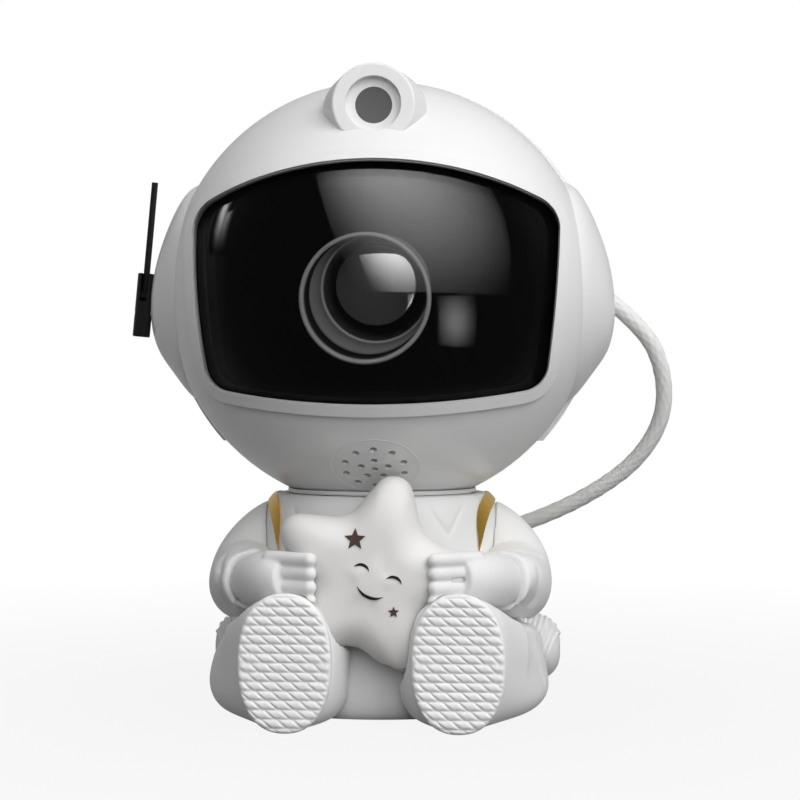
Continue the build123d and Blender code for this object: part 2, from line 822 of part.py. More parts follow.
with BuildPart() as condenser_lens:
    with Locations((0, disc_y + 1.0 + condenser_dome_r, head_z + lens_z)):
        Sphere(condenser_dome_r)
    with BuildSketch(lens_side(led_front - 0.9)):
        Circle(condenser_r)
    extrude(amount=14, mode=Mode.INTERSECT)
save(condenser_lens, "condenser_lens")

sink_front = led_front + board_thickness
with BuildPart() as heat_sink:
    with BuildSketch(lens_side(sink_front + sink_base)):
        Rectangle(led_board_side - 4, 34)
    extrude(amount=sink_base)
    with BuildSketch(lens_side(sink_front + sink_base + fin_depth)):
        with GridLocations((led_board_side - 6) / (fin_count - 1), 0, fin_count, 1):
            Rectangle(1.4, 34)
    extrude(amount=fin_depth)
save(heat_sink, "heat_sink")

with BuildPart() as main_board:
    with BuildSketch(facing_front(main_board_y + board_thickness)):
        RectangleRounded(*main_board_size, 2)
    extrude(amount=board_thickness)
    with BuildSketch(facing_front(main_board_y)):
        with Locations((-14, 4)):
            Rectangle(11, 11)
        with Locations((14, -8)):
            Rectangle(8, 6)
        with Locations((22, 12), (4, 13)):
            Rectangle(6, 9)
    extrude(amount=2.0)
save(main_board, "main_board")

window_back = -recess_depth - window_thickness
with BuildPart() as laser_window:
    with BuildSketch(boss_plane.offset(window_back)):
        Circle(window_r - seat_gap)
    extrude(amount=window_thickness)
save(laser_window, "laser_window")

with BuildPart() as laser_module:
    with BuildSketch(boss_plane.offset(window_back - 0.3)):
        Circle(window_r - seat_gap)
        Circle(2.0, mode=Mode.SUBTRACT)
    extrude(amount=-laser_length)
    with BuildSketch(boss_plane.offset(window_back - 4.0)):
        Circle(2.2)
    extrude(amount=4.0 - laser_length)
save(laser_module, "laser_module")

with BuildPart() as speaker:
    with BuildSketch(speaker_plane):
        Circle(speaker_r)
    extrude(amount=-1.4)
    with BuildSketch(speaker_plane.offset(-1.4)):
        Circle(speaker_r - 1.5)
    extrude(amount=-5.0, taper=28)
    with BuildSketch(speaker_plane.offset(-6.4)):
        Circle(8.0)
    extrude(amount=-3.6)
    # the cone is dished toward the holes
    with BuildSketch(speaker_plane):
        Circle(speaker_r - 2.0)
    extrude(amount=-2.4, taper=50, mode=Mode.SUBTRACT)
save(speaker, "speaker")

steel_cap_outer = inner_r - lip_wall - seat_gap
with BuildPart() as steel_cap:
    with Locations(head_at):
        Sphere(steel_cap_outer)
        Sphere(steel_cap_outer - steel_cap_thickness, mode=Mode.SUBTRACT)
    with BuildSketch(Plane.XY.offset(head_z - 10)):
        Circle(steel_cap_r)
    extrude(amount=-head_r, mode=Mode.INTERSECT)
save(steel_cap, "steel_cap")


# ---------------------------------------------------------------- neck

cup_sphere_r = head_r + cup_seat_gap
torso_top = torso_stations[-1][0]
with BuildPart() as neck_cup:
    with BuildSketch(Plane.XY.offset(cup_bottom)):
        Circle(cup_r)
    extrude(amount=torso_top - cup_bottom + slide_gap)
    with BuildSketch(Plane.XY.offset(torso_top + slide_gap)):
        Circle(collar_r)
    extrude(amount=collar_top - torso_top - slide_gap)
    with BuildSketch(Plane.XY.offset(spindle_bottom)):
        Circle(spindle_r)
    extrude(amount=cup_bottom - spindle_bottom)
    with Locations(head_at):
        Sphere(cup_sphere_r, mode=Mode.SUBTRACT)
    # pocket of the magnet, open from above so the steel cap is drawn straight to it
    with BuildSketch(Plane.XY.offset(cup_bottom + magnet_floor)):
        Circle(magnet_r + seat_gap)
    extrude(amount=2 * magnet_thickness, mode=Mode.SUBTRACT)
    with BuildSketch(Plane.XY.offset(spindle_bottom)):
        Circle(neck_screw_r + 0.1)
    extrude(amount=10, mode=Mode.SUBTRACT)
save(neck_cup, "neck_cup")

with BuildPart() as neck_magnet:
    with BuildSketch(Plane.XY.offset(cup_bottom + magnet_floor)):
        Circle(magnet_r)
    extrude(amount=magnet_thickness)
save(neck_magnet, "neck_magnet")

with BuildPart() as neck_screw:
    with BuildSketch(Plane.XY.offset(spindle_bottom)):
        Circle(neck_screw_head_r)
    extrude(amount=-neck_screw_head)
    with BuildSketch(Plane.XY.offset(spindle_bottom)):
        Circle(neck_screw_r)
    extrude(amount=9)
save(neck_screw, "neck_screw")

bush_bottom = spindle_bottom + slide_gap
with BuildPart() as neck_bush:
    with BuildSketch(Plane.XY.offset(bush_bottom)):
        Circle(spindle_r + bush_wall)
        Circle(spindle_r + running_gap, mode=Mode.SUBTRACT)
    extrude(amount=cup_bottom - slide_gap - bush_bottom)
save(neck_bush, "neck_bush")


# ---------------------------------------------------------------- torso, hips, base

screw_places = [
    (side * base_screw_x, end * base_screw_y) for side in (-1, 1) for end in (-1, 1)
]

torso_form = elliptic_body(torso_stations)
hip_form = elliptic_body(hip_stations)

with BuildPart() as torso:
    add(torso_form)
    with BuildSketch(Plane.XY.offset(cup_bottom - slide_gap)):
        Circle(cup_r + slide_gap)
    extrude(amount=20, mode=Mode.SUBTRACT)
    with BuildSketch(Plane.XY.offset(bush_bottom)):
        Circle(spindle_r + bush_wall + seat_gap)
    extrude(amount=20, mode=Mode.SUBTRACT)
    with BuildSketch(Plane.XY):
        Circle(service_bore_r)
    extrude(amount=bush_bottom, mode=Mode.SUBTRACT)
save(torso, "torso")

with BuildPart() as hips:
    add(hip_form)
    with BuildSketch(Plane.XY):
        Ellipse(*base_opening)
    extrude(amount=hip_cavity_top, mode=Mode.SUBTRACT)
    # screw bosses that reach down to the base plate
    with BuildSketch(Plane.XY.offset(pad_thickness + base_thickness)):
        with Locations(*screw_places):
            Circle(base_boss_r)
    extrude(amount=hip_cavity_top - pad_thickness - base_thickness + 0.5)
    with BuildSketch(Plane.XY):
        with Locations(*screw_places):
            Circle(base_screw_r + seat_gap)
    extrude(amount=base_thickness + 9.0, mode=Mode.SUBTRACT)
    with BuildSketch(Plane.XY):
        Circle(service_bore_r)
    extrude(amount=60, mode=Mode.SUBTRACT)
save(hips, "hips")


# ---------------------------------------------------------------- base

with BuildPart() as base_plate:
    with BuildSketch(Plane.XY.offset(pad_thickness)):
        Ellipse(base_opening[0] - 0.15, base_opening[1] - 0.15)
    extrude(amount=base_thickness)
    # ribs that stiffen the plate and carry the ballast
    with BuildSketch(Plane.XY.offset(pad_thickness + base_thickness)):
        with GridLocations(26, 0, 3, 1):
            Rectangle(base_rib_width, base_rib_length)
    extrude(amount=base_rib_height)
    with BuildSketch(Plane.XY):
        with Locations(*screw_places):
            Circle(1.4)
    extrude(amount=10, mode=Mode.SUBTRACT)
    with BuildSketch(Plane.XY):
        with Locations(*screw_places):
            Circle(2.8)
    extrude(amount=pad_thickness + 1.2, mode=Mode.SUBTRACT)
save(base_plate, "base_plate")

ballast_bottom = pad_thickness + base_thickness + 2.0
with BuildPart() as ballast:
    with BuildSketch(Plane.XY.offset(ballast_bottom)):
        Ellipse(base_screw_x - base_boss_r - 1.0, base_opening[1] - 6.0)
        Circle(service_bore_r, mode=Mode.SUBTRACT)
    extrude(amount=ballast_thickness)
save(ballast, "ballast_weight")

with BuildPart() as rubber_pad:
    with BuildSketch(Plane.XY):
        Ellipse(*pad_size)
    extrude(amount=pad_thickness)
save(rubber_pad, "rubber_pad")

with BuildPart() as base_screws:
    with BuildSketch(Plane.XY.offset(pad_thickness)):
        with Locations(*screw_places):
            Circle(2.6)
    extrude(amount=1.2)
    with BuildSketch(Plane.XY.offset(pad_thickness)):
        with Locations(*screw_places):
            Circle(base_screw_r)
    extrude(amount=base_thickness + 6.0)
save(base_screws, "base_screws")


# ---------------------------------------------------------------- legs, soles, star, arms


def leg(side):
    with BuildPart() as limb_part:
        for y, x, z, half_width, half_height, power in leg_stations:
            with BuildSketch(facing_front(y, side * x, z)):
                with BuildLine():
                    Spline(*squarish(half_width, half_height, power), periodic=True)
                make_face()
        loft()
        for neighbour in (hip_form, torso_form, star.part):
            add(neighbour, mode=Mode.SUBTRACT)
    return limb_part.part


def sole(side):
    """An oval plate with raised slanted cells, left by level and slanted grooves."""
    ankle_y, x, z = leg_stations[-1][:3]
    sole_power = leg_stations[-1][-1]
    face = facing_front(ankle_y, side * x, z)
    half_width, half_height = sole_size
    rows = int(2 * half_height / tread_row_pitch) + 1
    lean_shift = tread_row_pitch / tan(radians(tread_slope))
    cells = int(2 * (half_width + half_height / tan(radians(tread_slope))) / tread_cell_pitch) + 1
    cell_height = tread_row_pitch - tread_groove
    cell_width = tread_cell_pitch - tread_groove / sin(radians(tread_slope))
    cell_lean = cell_height / tan(radians(tread_slope))
    with BuildPart() as plate:
        with BuildSketch(face):
            with BuildLine():
                Spline(*squarish(half_width, half_height, sole_power), periodic=True)
            make_face()
        extrude(amount=sole_thickness)
        with BuildSketch(face.offset(sole_thickness)):
            for row in range(-(rows // 2), rows // 2 + 1):
                level = row * tread_row_pitch
                for cell in range(-(cells // 2), cells // 2 + 1):
                    middle = cell * tread_cell_pitch - row * (lean_shift % tread_cell_pitch)
                    if abs(middle) > half_width + tread_cell_pitch:
                        continue
                    with BuildLine():
                        Polyline(
                            (middle - cell_width / 2 - cell_lean / 2, level + cell_height / 2),
                            (middle + cell_width / 2 - cell_lean / 2, level + cell_height / 2),
                            (middle + cell_width / 2 + cell_lean / 2, level - cell_height / 2),
                            (middle - cell_width / 2 + cell_lean / 2, level - cell_height / 2),
                            close=True,
                        )
                    make_face()
            with BuildLine():
                Spline(
                    *squarish(half_width - sole_border, half_height - sole_border, sole_power),
                    periodic=True,
                )
            make_face(mode=Mode.INTERSECT)
        extrude(amount=tread_height)
    return plate.part


def star_outline(scale):
    """A five-pointed star with rounded tips and valleys, in the current sketch."""
    corners = []
    for corner in range(10):
        radius = star_tip_r if corner % 2 == 0 else star_valley_r
        angle = radians(90 + star_turn + 36 * corner)
        corners.append((radius * cos(angle), radius * sin(angle)))
    with BuildSketch(Plane.XY, mode=Mode.PRIVATE) as outline:
        with BuildLine():
            Polyline(*corners, close=True)
        make_face()
        tips = outline.vertices().filter_by(lambda v: hypot(v.X, v.Y) > star_valley_r + 1)
        fillet(tips, star_tip_fillet)
        valleys = outline.vertices().filter_by(lambda v: hypot(v.X, v.Y) < star_valley_r + 1e-6)
        fillet(valleys, star_valley_fillet)
    add(outline.sketch.scale(scale))


def puffy_star(grow):
    """A star pillow, lofted through outlines that shrink toward its front."""
    with BuildPart() as pillow:
        for y, scale in star_stations:
            with BuildSketch(facing_front(y - grow, star_x, star_z)):
                star_outline(scale + grow / star_tip_r)
        loft()
    return pillow.part


with BuildPart() as star:
    add(puffy_star(0))
    for neighbour in (torso_form, hip_form):
        add(neighbour, mode=Mode.SUBTRACT)
save(star, "star")

with BuildPart() as leg_right:
    add(leg(1))
with BuildPart() as leg_left:
    add(leg(-1))
with BuildPart() as sole_right:
    add(sole(1))
with BuildPart() as sole_left:
    add(sole(-1))
save(leg_right, "leg_right")
save(leg_left, "leg_left")
save(sole_right, "sole_right")
save(sole_left, "sole_left")


front_elevation = Plane(origin=(0, 0, 0), x_dir=(1, 0, 0), z_dir=(0, -1, 0))
print_skin = puffy_star(print_thickness)

with BuildPart() as star_smile:
    with BuildSketch(front_elevation):
        for start, crown, end in smile_strokes:
            middle_z = (start[1] + end[1]) / 2
            toward = 1 if crown[1] > middle_z else -1
            with BuildLine():
                ThreePointArc(start, crown, end)
                ThreePointArc(end, (crown[0], crown[1] - toward * smile_width), start)
            make_face()
    extrude(amount=2 * -star_stations[-1][0])
    add(print_skin, mode=Mode.INTERSECT)
    add(star.part, mode=Mode.SUBTRACT)
    with BuildSketch(front_elevation):
        Rectangle(300, 300)
    extrude(amount=-star_stations[2][0], mode=Mode.SUBTRACT)
save(star_smile, "star_smile")

with BuildPart() as star_motifs:
    with BuildSketch(front_elevation):
        for x, z, tip_r in motif_places:
            with BuildLine():
                Polyline(
                    *[
                        (
                            x + tip_r * (1 if corner % 2 == 0 else 0.45) * sin(radians(36 * corner)),
                            z + tip_r * (1 if corner % 2 == 0 else 0.45) * cos(radians(36 * corner)),
                        )
                        for corner in range(10)
                    ],
                    close=True,
                )
            make_face()
    extrude(amount=2 * -star_stations[-1][0])
    add(print_skin, mode=Mode.INTERSECT)
    add(star.part, mode=Mode.SUBTRACT)
    with BuildSketch(front_elevation):
        Rectangle(300, 300)
    extrude(amount=-star_stations[2][0], mode=Mode.SUBTRACT)
save(star_motifs, "star_motifs")


def mirrored(path, side):
    return [(side * x, y, z, radius) for x, y, z, radius in path]


def sleeve(side):
    with BuildPart() as arm:
        add(limb(mirrored(sleeve_path, side)))
        add(torso_form, mode=Mode.SUBTRACT)
        add(hip_form, mode=Mode.SUBTRACT)
        add((leg_right if side > 0 else leg_left).part, mode=Mode.SUBTRACT)
    return arm.part


def glove(side, arm):
    with BuildPart() as hand:
        add(limb(mirrored(glove_path, side)))
        for finger in range(finger_count):
            height = finger_mid_z + (finger - (finger_count - 1) / 2) * finger_pitch
            root = Vector(side * finger_root[0], finger_root[1], height)
            tip = Vector(side * finger_tip[0], finger_tip[1], height)
            with BuildSketch(Plane(origin=root, z_dir=tip - root)):
                Circle(finger_r)
            extrude(amount=(tip - root).length)
            with Locations(root, tip):
                Sphere(finger_r)
        leg_beside, sole_beside = (leg_right, sole_right) if side > 0 else (leg_left, sole_left)
        for neighbour in (arm, star, leg_beside, sole_beside):
            add(neighbour.part, mode=Mode.SUBTRACT)
    return hand.part


with BuildPart() as sleeve_right:
    add(sleeve(1))
with BuildPart() as sleeve_left:
    add(sleeve(-1))
with BuildPart() as glove_right:
    add(glove(1, sleeve_right))
with BuildPart() as glove_left:
    add(glove(-1, sleeve_left))
save(sleeve_right, "sleeve_right")
save(sleeve_left, "sleeve_left")
save(glove_right, "glove_right")
save(glove_left, "glove_left")


# ---------------------------------------------------------------- straps


def strap(side):
    """A band over the shoulder that tapers to a point on the chest."""
    with BuildPart() as band:
        add(elliptic_body(torso_stations, strap_thickness))
        with BuildSketch(facing_front(0, 0, 0)):
            with BuildLine():
                Spline(*[(side * x, z) for x, z in strap_outline[:strap_tip + 1]])
                Spline(*[(side * x, z) for x, z in strap_outline[strap_tip:]])
                Line(
                    (side * strap_outline[-1][0], strap_outline[-1][1]),
                    (side * strap_outline[0][0], strap_outline[0][1]),
                )
            make_face()
        extrude(amount=60, both=True, mode=Mode.INTERSECT)
        add(torso_form, mode=Mode.SUBTRACT)
        add((sleeve_right if side > 0 else sleeve_left).part, mode=Mode.SUBTRACT)
        with BuildSketch(Plane.XY.offset(torso_top)):
            Circle(collar_r + slide_gap)
        extrude(amount=10, mode=Mode.SUBTRACT)
    return band.part


with BuildPart() as strap_right:
    add(strap(1))
with BuildPart() as strap_left:
    add(strap(-1))
save(strap_right, "strap_right")
save(strap_left, "strap_left")


# ---------------------------------------------------------------- backpack

pack_back = pack_centre[1] + pack_size[1] / 2
pack_inside = pack_back - pack_wall


def facing_back(y, x=0.0, z=0.0):
    """A sketch plane across the depth axis, seen from behind."""
    return Plane(origin=(x, y, z), x_dir=(-1, 0, 0), z_dir=(0, 1, 0))


button_places = [(step * button_pitch, button_z) for step in (-1, 0, 1)]
board_y = pack_inside - 8.0
with BuildPart() as backpack:
    with Locations(pack_centre):
        Box(*pack_size)
    fillet(backpack.edges().filter_by(Axis.Y), pack_corner_r)
    fillet(backpack.faces().sort_by(Axis.Y)[-1].edges(), pack_corner_r / 2)
    # hollow behind the rear wall for the button board
    with Locations((0, (board_y - 4 + pack_inside) / 2, pack_centre[2])):
        Box(pack_size[0] - 12, pack_inside - board_y + 4, pack_size[2] - 8, mode=Mode.SUBTRACT)
    with BuildSketch(facing_back(board_y, 0, pack_centre[2])):
        with GridLocations(*pack_post_span, 2, 2):
            Circle(2.2)
    extrude(amount=pack_inside - board_y)
    with BuildSketch(facing_back(pack_inside - 1)):
        with Locations(*[(-x, z) for x, z in button_places]):
            Circle(button_r + slide_gap)
    extrude(amount=pack_wall + 3, mode=Mode.SUBTRACT)
    with BuildSketch(facing_back(pack_inside - 6, 0, socket_z)):
        RectangleRounded(socket_size[0] + 0.1, socket_size[2] + 0.1, socket_size[2] / 2)
    extrude(amount=pack_wall + 10, mode=Mode.SUBTRACT)
    add(torso_form, mode=Mode.SUBTRACT)
    add(hip_form, mode=Mode.SUBTRACT)
    with BuildSketch(Plane(origin=hose_end, z_dir=hose_before_end - hose_end)):
        Circle(hose_hole_r)
    extrude(amount=20, mode=Mode.SUBTRACT)
save(backpack, "backpack")

with BuildPart() as button_board:
    with BuildSketch(facing_back(board_y, 0, pack_centre[2])):
        RectangleRounded(pack_post_span[0] + 6, pack_post_span[1] + 6, 2)
    extrude(amount=-board_thickness)
    with BuildSketch(facing_back(board_y)):
        with Locations(*[(-x, z) for x, z in button_places]):
            Rectangle(6, 6)
    extrude(amount=2.0)
save(button_board, "button_board")

with BuildPart() as usb_socket:
    with BuildSketch(facing_back(pack_back - socket_size[1], 0, socket_z)):
        RectangleRounded(socket_size[0], socket_size[2], socket_size[2] / 2 - 0.05)
    extrude(amount=socket_size[1])
    with BuildSketch(facing_back(pack_back - socket_size[1] + 1, 0, socket_z)):
        RectangleRounded(socket_size[0] - 0.8, socket_size[2] - 0.8, socket_size[2] / 2 - 0.45)
        Rectangle(socket_size[0] - 3, 0.8, mode=Mode.SUBTRACT)
    extrude(amount=socket_size[1], mode=Mode.SUBTRACT)
save(usb_socket, "usb_socket")

for name, (x, z) in zip(("button_nebula", "button_power", "button_stars"), button_places):
    with BuildPart() as button:
        with BuildSketch(facing_back(pack_inside - 0.1, x, z)):
            Circle(button_r)
        extrude(amount=pack_wall + 0.1 + button_proud)
        fillet(button.faces().sort_by(Axis.Y)[-1].edges(), 0.9)
        with BuildSketch(facing_back(pack_inside - 0.1, x, z)):
            Circle(button_r + 1.0)
        extrude(amount=-1.0)
        with BuildSketch(facing_back(pack_inside - 1.1, x, z)):
            Circle(1.8)
        extrude(amount=-(pack_inside - 1.1 - board_y - 2.0 - button_travel - 0.3))
    save(button, name)

with BuildPart() as pack_roll:
    with BuildSketch(facing_side(-roll_half_length, roll_y, roll_z, 1)):
        Circle(roll_r)
    extrude(amount=2 * roll_half_length)
    fillet(pack_roll.edges().filter_by(GeomType.CIRCLE), roll_end_r)
    for side in (-1, 1):
        for rib in range(rib_count):
            x = side * (roll_half_length - roll_end_r - rib * rib_pitch)
            with Locations(Plane(origin=(x, roll_y, roll_z), z_dir=(1, 0, 0))):
                Torus(roll_r, rib_r)
    for neighbour in (hip_form, torso_form, backpack.part):
        add(neighbour, mode=Mode.SUBTRACT)
save(pack_roll, "pack_roll")
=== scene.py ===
# %% [markdown]
# # A seated astronaut that projects stars
# The object is a toy-like lamp: a round helmet with a smoked visor sits in the neck of a small
# seated body, which hugs a puffy star. The hard parts arrive as a finished frame of solids.
# This lesson gives them their finishes, makes the soft folds, ribs, rings and treads that plain
# solids don't show, and lights the whole for a picture.

# %% Load the frame
from math import cos, pi, radians, sin

import bmesh
import bpy
import numpy as np
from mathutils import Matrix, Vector


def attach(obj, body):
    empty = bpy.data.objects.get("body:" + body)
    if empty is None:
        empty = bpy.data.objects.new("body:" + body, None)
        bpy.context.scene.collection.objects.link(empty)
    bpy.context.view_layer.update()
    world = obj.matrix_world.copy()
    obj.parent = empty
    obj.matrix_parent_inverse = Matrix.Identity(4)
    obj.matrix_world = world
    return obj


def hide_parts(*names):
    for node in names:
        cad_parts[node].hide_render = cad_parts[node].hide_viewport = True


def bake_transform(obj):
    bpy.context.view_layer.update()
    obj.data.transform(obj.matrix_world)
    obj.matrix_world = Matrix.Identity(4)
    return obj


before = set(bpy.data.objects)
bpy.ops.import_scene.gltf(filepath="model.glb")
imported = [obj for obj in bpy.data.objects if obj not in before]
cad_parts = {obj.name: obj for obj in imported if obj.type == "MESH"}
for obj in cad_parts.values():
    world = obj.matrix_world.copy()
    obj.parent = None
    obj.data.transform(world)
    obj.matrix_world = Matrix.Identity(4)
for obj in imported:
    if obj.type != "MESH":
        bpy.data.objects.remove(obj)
bpy.context.view_layer.update()

# %% [markdown]
# ## Where the camera stands
# A product picture is taken level, from a little way off, with a long lens, so that the round
# helmet keeps its shape. The camera stands 620 mm in front of the neck and a little to the right.

# %% The camera
MM = 0.001
HEAD = Vector((0, 0, 139.5)) * MM
CAMERA_PLACE = Vector((33.2, -619.1, 103.6)) * MM
CAMERA_TURN, CAMERA_LENS, SENSOR_WIDTH = 2.5, 80.87, 36
SCENE = bpy.context.scene


def new_camera(place, turn, lens):
    data = bpy.data.cameras.new("camera")
    data.lens, data.sensor_width = lens, SENSOR_WIDTH
    camera = bpy.data.objects.new("camera", data)
    camera.location = place
    camera.rotation_euler = (pi / 2, 0, radians(turn))
    SCENE.collection.objects.link(camera)
    SCENE.camera = camera
    return camera


camera = new_camera(CAMERA_PLACE, CAMERA_TURN, CAMERA_LENS)
print("lens:", round(camera.data.lens, 2), "mm")

# %% [markdown]
# ## Finishes
# Moulded plastic is never quite even. It has faint mottling, a slight orange-peel skin and tiny
# changes of gloss. One shader group gives all three as a mask and a height, and each finish uses
# it at its own scale and strength.

# %% Helpers for shader trees


def link(tree, start, end):
    tree.links.new(start, end)


def add_node(tree, kind, inputs=None, **settings):
    """A new node with its properties and the start values of its inputs."""
    node = tree.nodes.new(kind)
    for key, value in settings.items():
        setattr(node, key, value)
    for name, value in (inputs or {}).items():
        node.inputs[name].default_value = value
    return node


def empty_tree(owner):
    """The node tree of a material or world, with nothing in it."""
    owner.use_nodes = True
    owner.node_tree.nodes.clear()
    return owner.node_tree


def mould_skin():
    """A group: broad mottling, fine grain and their height, from object coordinates."""
    tree = bpy.data.node_groups.new("mould skin", "ShaderNodeTree")
    for name, start in (("Mottle size", 30.0), ("Grain size", 900.0), ("Grain share", 0.4)):
        socket = tree.interface.new_socket(name, in_out="INPUT", socket_type="NodeSocketFloat")
        socket.default_value = start
    for name in ("Mask", "Height"):
        tree.interface.new_socket(name, in_out="OUTPUT", socket_type="NodeSocketFloat")
    given = add_node(tree, "NodeGroupInput")
    out = add_node(tree, "NodeGroupOutput")
    place = add_node(tree, "ShaderNodeTexCoord")
    mottle = add_node(tree, "ShaderNodeTexNoise", inputs={"Detail": 3.0})
    grain = add_node(tree, "ShaderNodeTexNoise", inputs={"Detail": 2.0})
    for noise, size in ((mottle, "Mottle size"), (grain, "Grain size")):
        link(tree, place.outputs["Object"], noise.inputs["Vector"])
        link(tree, given.outputs[size], noise.inputs["Scale"])
    mix = add_node(tree, "ShaderNodeMix")
    link(tree, given.outputs["Grain share"], mix.inputs["Factor"])
    link(tree, mottle.outputs["Fac"], mix.inputs["A"])
    link(tree, grain.outputs["Fac"], mix.inputs["B"])
    link(tree, mottle.outputs["Fac"], out.inputs["Mask"])
    link(tree, mix.outputs["Result"], out.inputs["Height"])
    return tree


MOULD_SKIN = mould_skin()
print("groups:", [group.name for group in bpy.data.node_groups])

# %% One recipe for every finish


def new_finish(name, dark, light, rough=(0.3, 0.4), bump=0.05, height=0.0001, sizes=(30, 900, 0.4),
               **shader):
    """A Principled finish whose colour and roughness wander between two values each."""
    material = bpy.data.materials.new(name)
    tree = empty_tree(material)
    out = add_node(tree, "ShaderNodeOutputMaterial")
    body = add_node(tree, "ShaderNodeBsdfPrincipled", inputs=shader)
    skin = add_node(tree, "ShaderNodeGroup", node_tree=MOULD_SKIN)
    for socket, value in zip(("Mottle size", "Grain size", "Grain share"), sizes):
        skin.inputs[socket].default_value = value
    colour = add_node(tree, "ShaderNodeMix", data_type="RGBA")
    colour.inputs["A"].default_value = (*dark, 1)
    colour.inputs["B"].default_value = (*light, 1)
    link(tree, skin.outputs["Mask"], colour.inputs["Factor"])
    link(tree, colour.outputs["Result"], body.inputs["Base Color"])
    wander = add_node(tree, "ShaderNodeMapRange", inputs={
        "From Min": 0.3, "From Max": 0.7, "To Min": rough[0], "To Max": rough[1]})
    link(tree, skin.outputs["Mask"], wander.inputs["Value"])
    link(tree, wander.outputs["Result"], body.inputs["Roughness"])
    relief = add_node(tree, "ShaderNodeBump", inputs={"Strength": bump, "Distance": height})
    link(tree, skin.outputs["Height"], relief.inputs["Height"])
    link(tree, relief.outputs["Normal"], body.inputs["Normal"])
    link(tree, body.outputs["BSDF"], out.inputs["Surface"])
    return material


FINISHES = {
    "white_shell": new_finish("glossy white plastic", (0.76, 0.76, 0.755), (0.79, 0.79, 0.785),
                              rough=(0.285, 0.34), bump=0.08,
                              **{"Coat Weight": 0.25, "Coat Roughness": 0.12}),
    "body_white": new_finish("satin white vinyl", (0.72, 0.72, 0.715), (0.79, 0.79, 0.785),
                             rough=(0.34, 0.46), bump=0.2),
    "visor": new_finish("smoked visor", (0.0012, 0.0011, 0.0012), (0.002, 0.0018, 0.002),
                        rough=(0.02, 0.04), bump=0.01, Alpha=0.32, **{"Specular IOR Level": 0.45}),
    "gasket": new_finish("pale grey rubber gasket", (0.42, 0.42, 0.42), (0.5, 0.5, 0.5),
                         rough=(0.3, 0.45)),
    "antenna_black": new_finish("black antenna plastic", (0.008, 0.008, 0.008), (0.016, 0.016, 0.016),
                                rough=(0.29, 0.4)),
    "inner_black": new_finish("matt black inner plastic", (0.0015, 0.0015, 0.0015),
                              (0.003, 0.003, 0.003), rough=(0.5, 0.7), **{"Specular IOR Level": 0.15}),
    "hood": new_finish("satin black lens hood", (0.03, 0.03, 0.03), (0.05, 0.05, 0.05),
                       rough=(0.3, 0.4)),
    "lens": new_finish("coated lens glass", (0.14, 0.14, 0.145), (0.18, 0.18, 0.185),
                       rough=(0.02, 0.05), bump=0.0,
                       **{"Coat Weight": 1.0, "Coat Roughness": 0.02, "IOR": 3.0}),
    "laser_lens": new_finish("grey laser filter", (0.1, 0.1, 0.1), (0.115, 0.115, 0.115),
                             rough=(0.35, 0.5)),
    "gold": new_finish("gold plating", (0.76, 0.44, 0.06), (0.9, 0.58, 0.13), rough=(0.2, 0.26),
                       Metallic=0.9),
    "hose": new_finish("white braided hose", (0.71, 0.71, 0.7), (0.79, 0.79, 0.78),
                       rough=(0.4, 0.55)),
    "sole_white": new_finish("white rubber sole", (0.8, 0.8, 0.795), (0.85, 0.85, 0.845),
                             rough=(0.45, 0.55), bump=0.15),
    "star_white": new_finish("soft white vinyl", (0.7, 0.69, 0.675), (0.77, 0.76, 0.745),
                             rough=(0.4, 0.55), bump=0.15),
    "ink_black": new_finish("black pad print", (0.01, 0.009, 0.008), (0.02, 0.018, 0.016),
                            rough=(0.4, 0.5)),
    "ink_brown": new_finish("brown pad print", (0.06, 0.035, 0.025), (0.085, 0.052, 0.04),
                            rough=(0.4, 0.5)),
    "rubber": new_finish("black rubber foot", (0.015, 0.015, 0.015), (0.03, 0.03, 0.03),
                         rough=(0.7, 0.9)),
    "steel": new_finish("plated steel", (0.45, 0.45, 0.45), (0.6, 0.6, 0.6), rough=(0.29, 0.4),
                        Metallic=1.0),
    "magnet": new_finish("nickel plated magnet", (0.5, 0.5, 0.5), (0.62, 0.61, 0.6),
                         rough=(0.15, 0.25), Metallic=1.0),
    "cast_ballast": new_finish("cast iron ballast", (0.03, 0.03, 0.032), (0.07, 0.068, 0.066),
                               rough=(0.6, 0.85), bump=0.6, height=0.0004, sizes=(60, 700, 0.6)),
    "board_green": new_finish("green circuit board", (0.006, 0.07, 0.03), (0.012, 0.1, 0.045),
                              rough=(0.3, 0.45)),
    "sink_aluminium": new_finish("aluminium heat sink", (0.5, 0.5, 0.51), (0.62, 0.62, 0.63),
                                 rough=(0.35, 0.5), Metallic=1.0),
    "clear_disc": new_finish("clear ripple disc", (0.7, 0.72, 0.75), (0.85, 0.87, 0.9),
                             rough=(0.03, 0.08), **{"Transmission Weight": 0.9}),
    "gear_white": new_finish("white acetal", (0.62, 0.62, 0.6), (0.7, 0.7, 0.68), rough=(0.35, 0.5)),
    "button_grey": new_finish("grey button plastic", (0.2, 0.2, 0.205), (0.26, 0.26, 0.265),
                              rough=(0.35, 0.5)),
}
# the body's white slots are moulded in satin vinyl, only the helmet and its collar are glossy
GLOSSY_WHITE = ("helmet_front_shell", "helmet_rear_shell", "ear_cover_right", "ear_cover_left",
                "neck_cup")
for name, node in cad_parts.items():
    for slot in node.material_slots:
        finish = slot.material.name.split(".")[0]
        if finish == "white_shell" and name not in GLOSSY_WHITE:
            finish = "body_white"
        slot.material = FINISHES[finish]
print("finishes:", len(FINISHES))
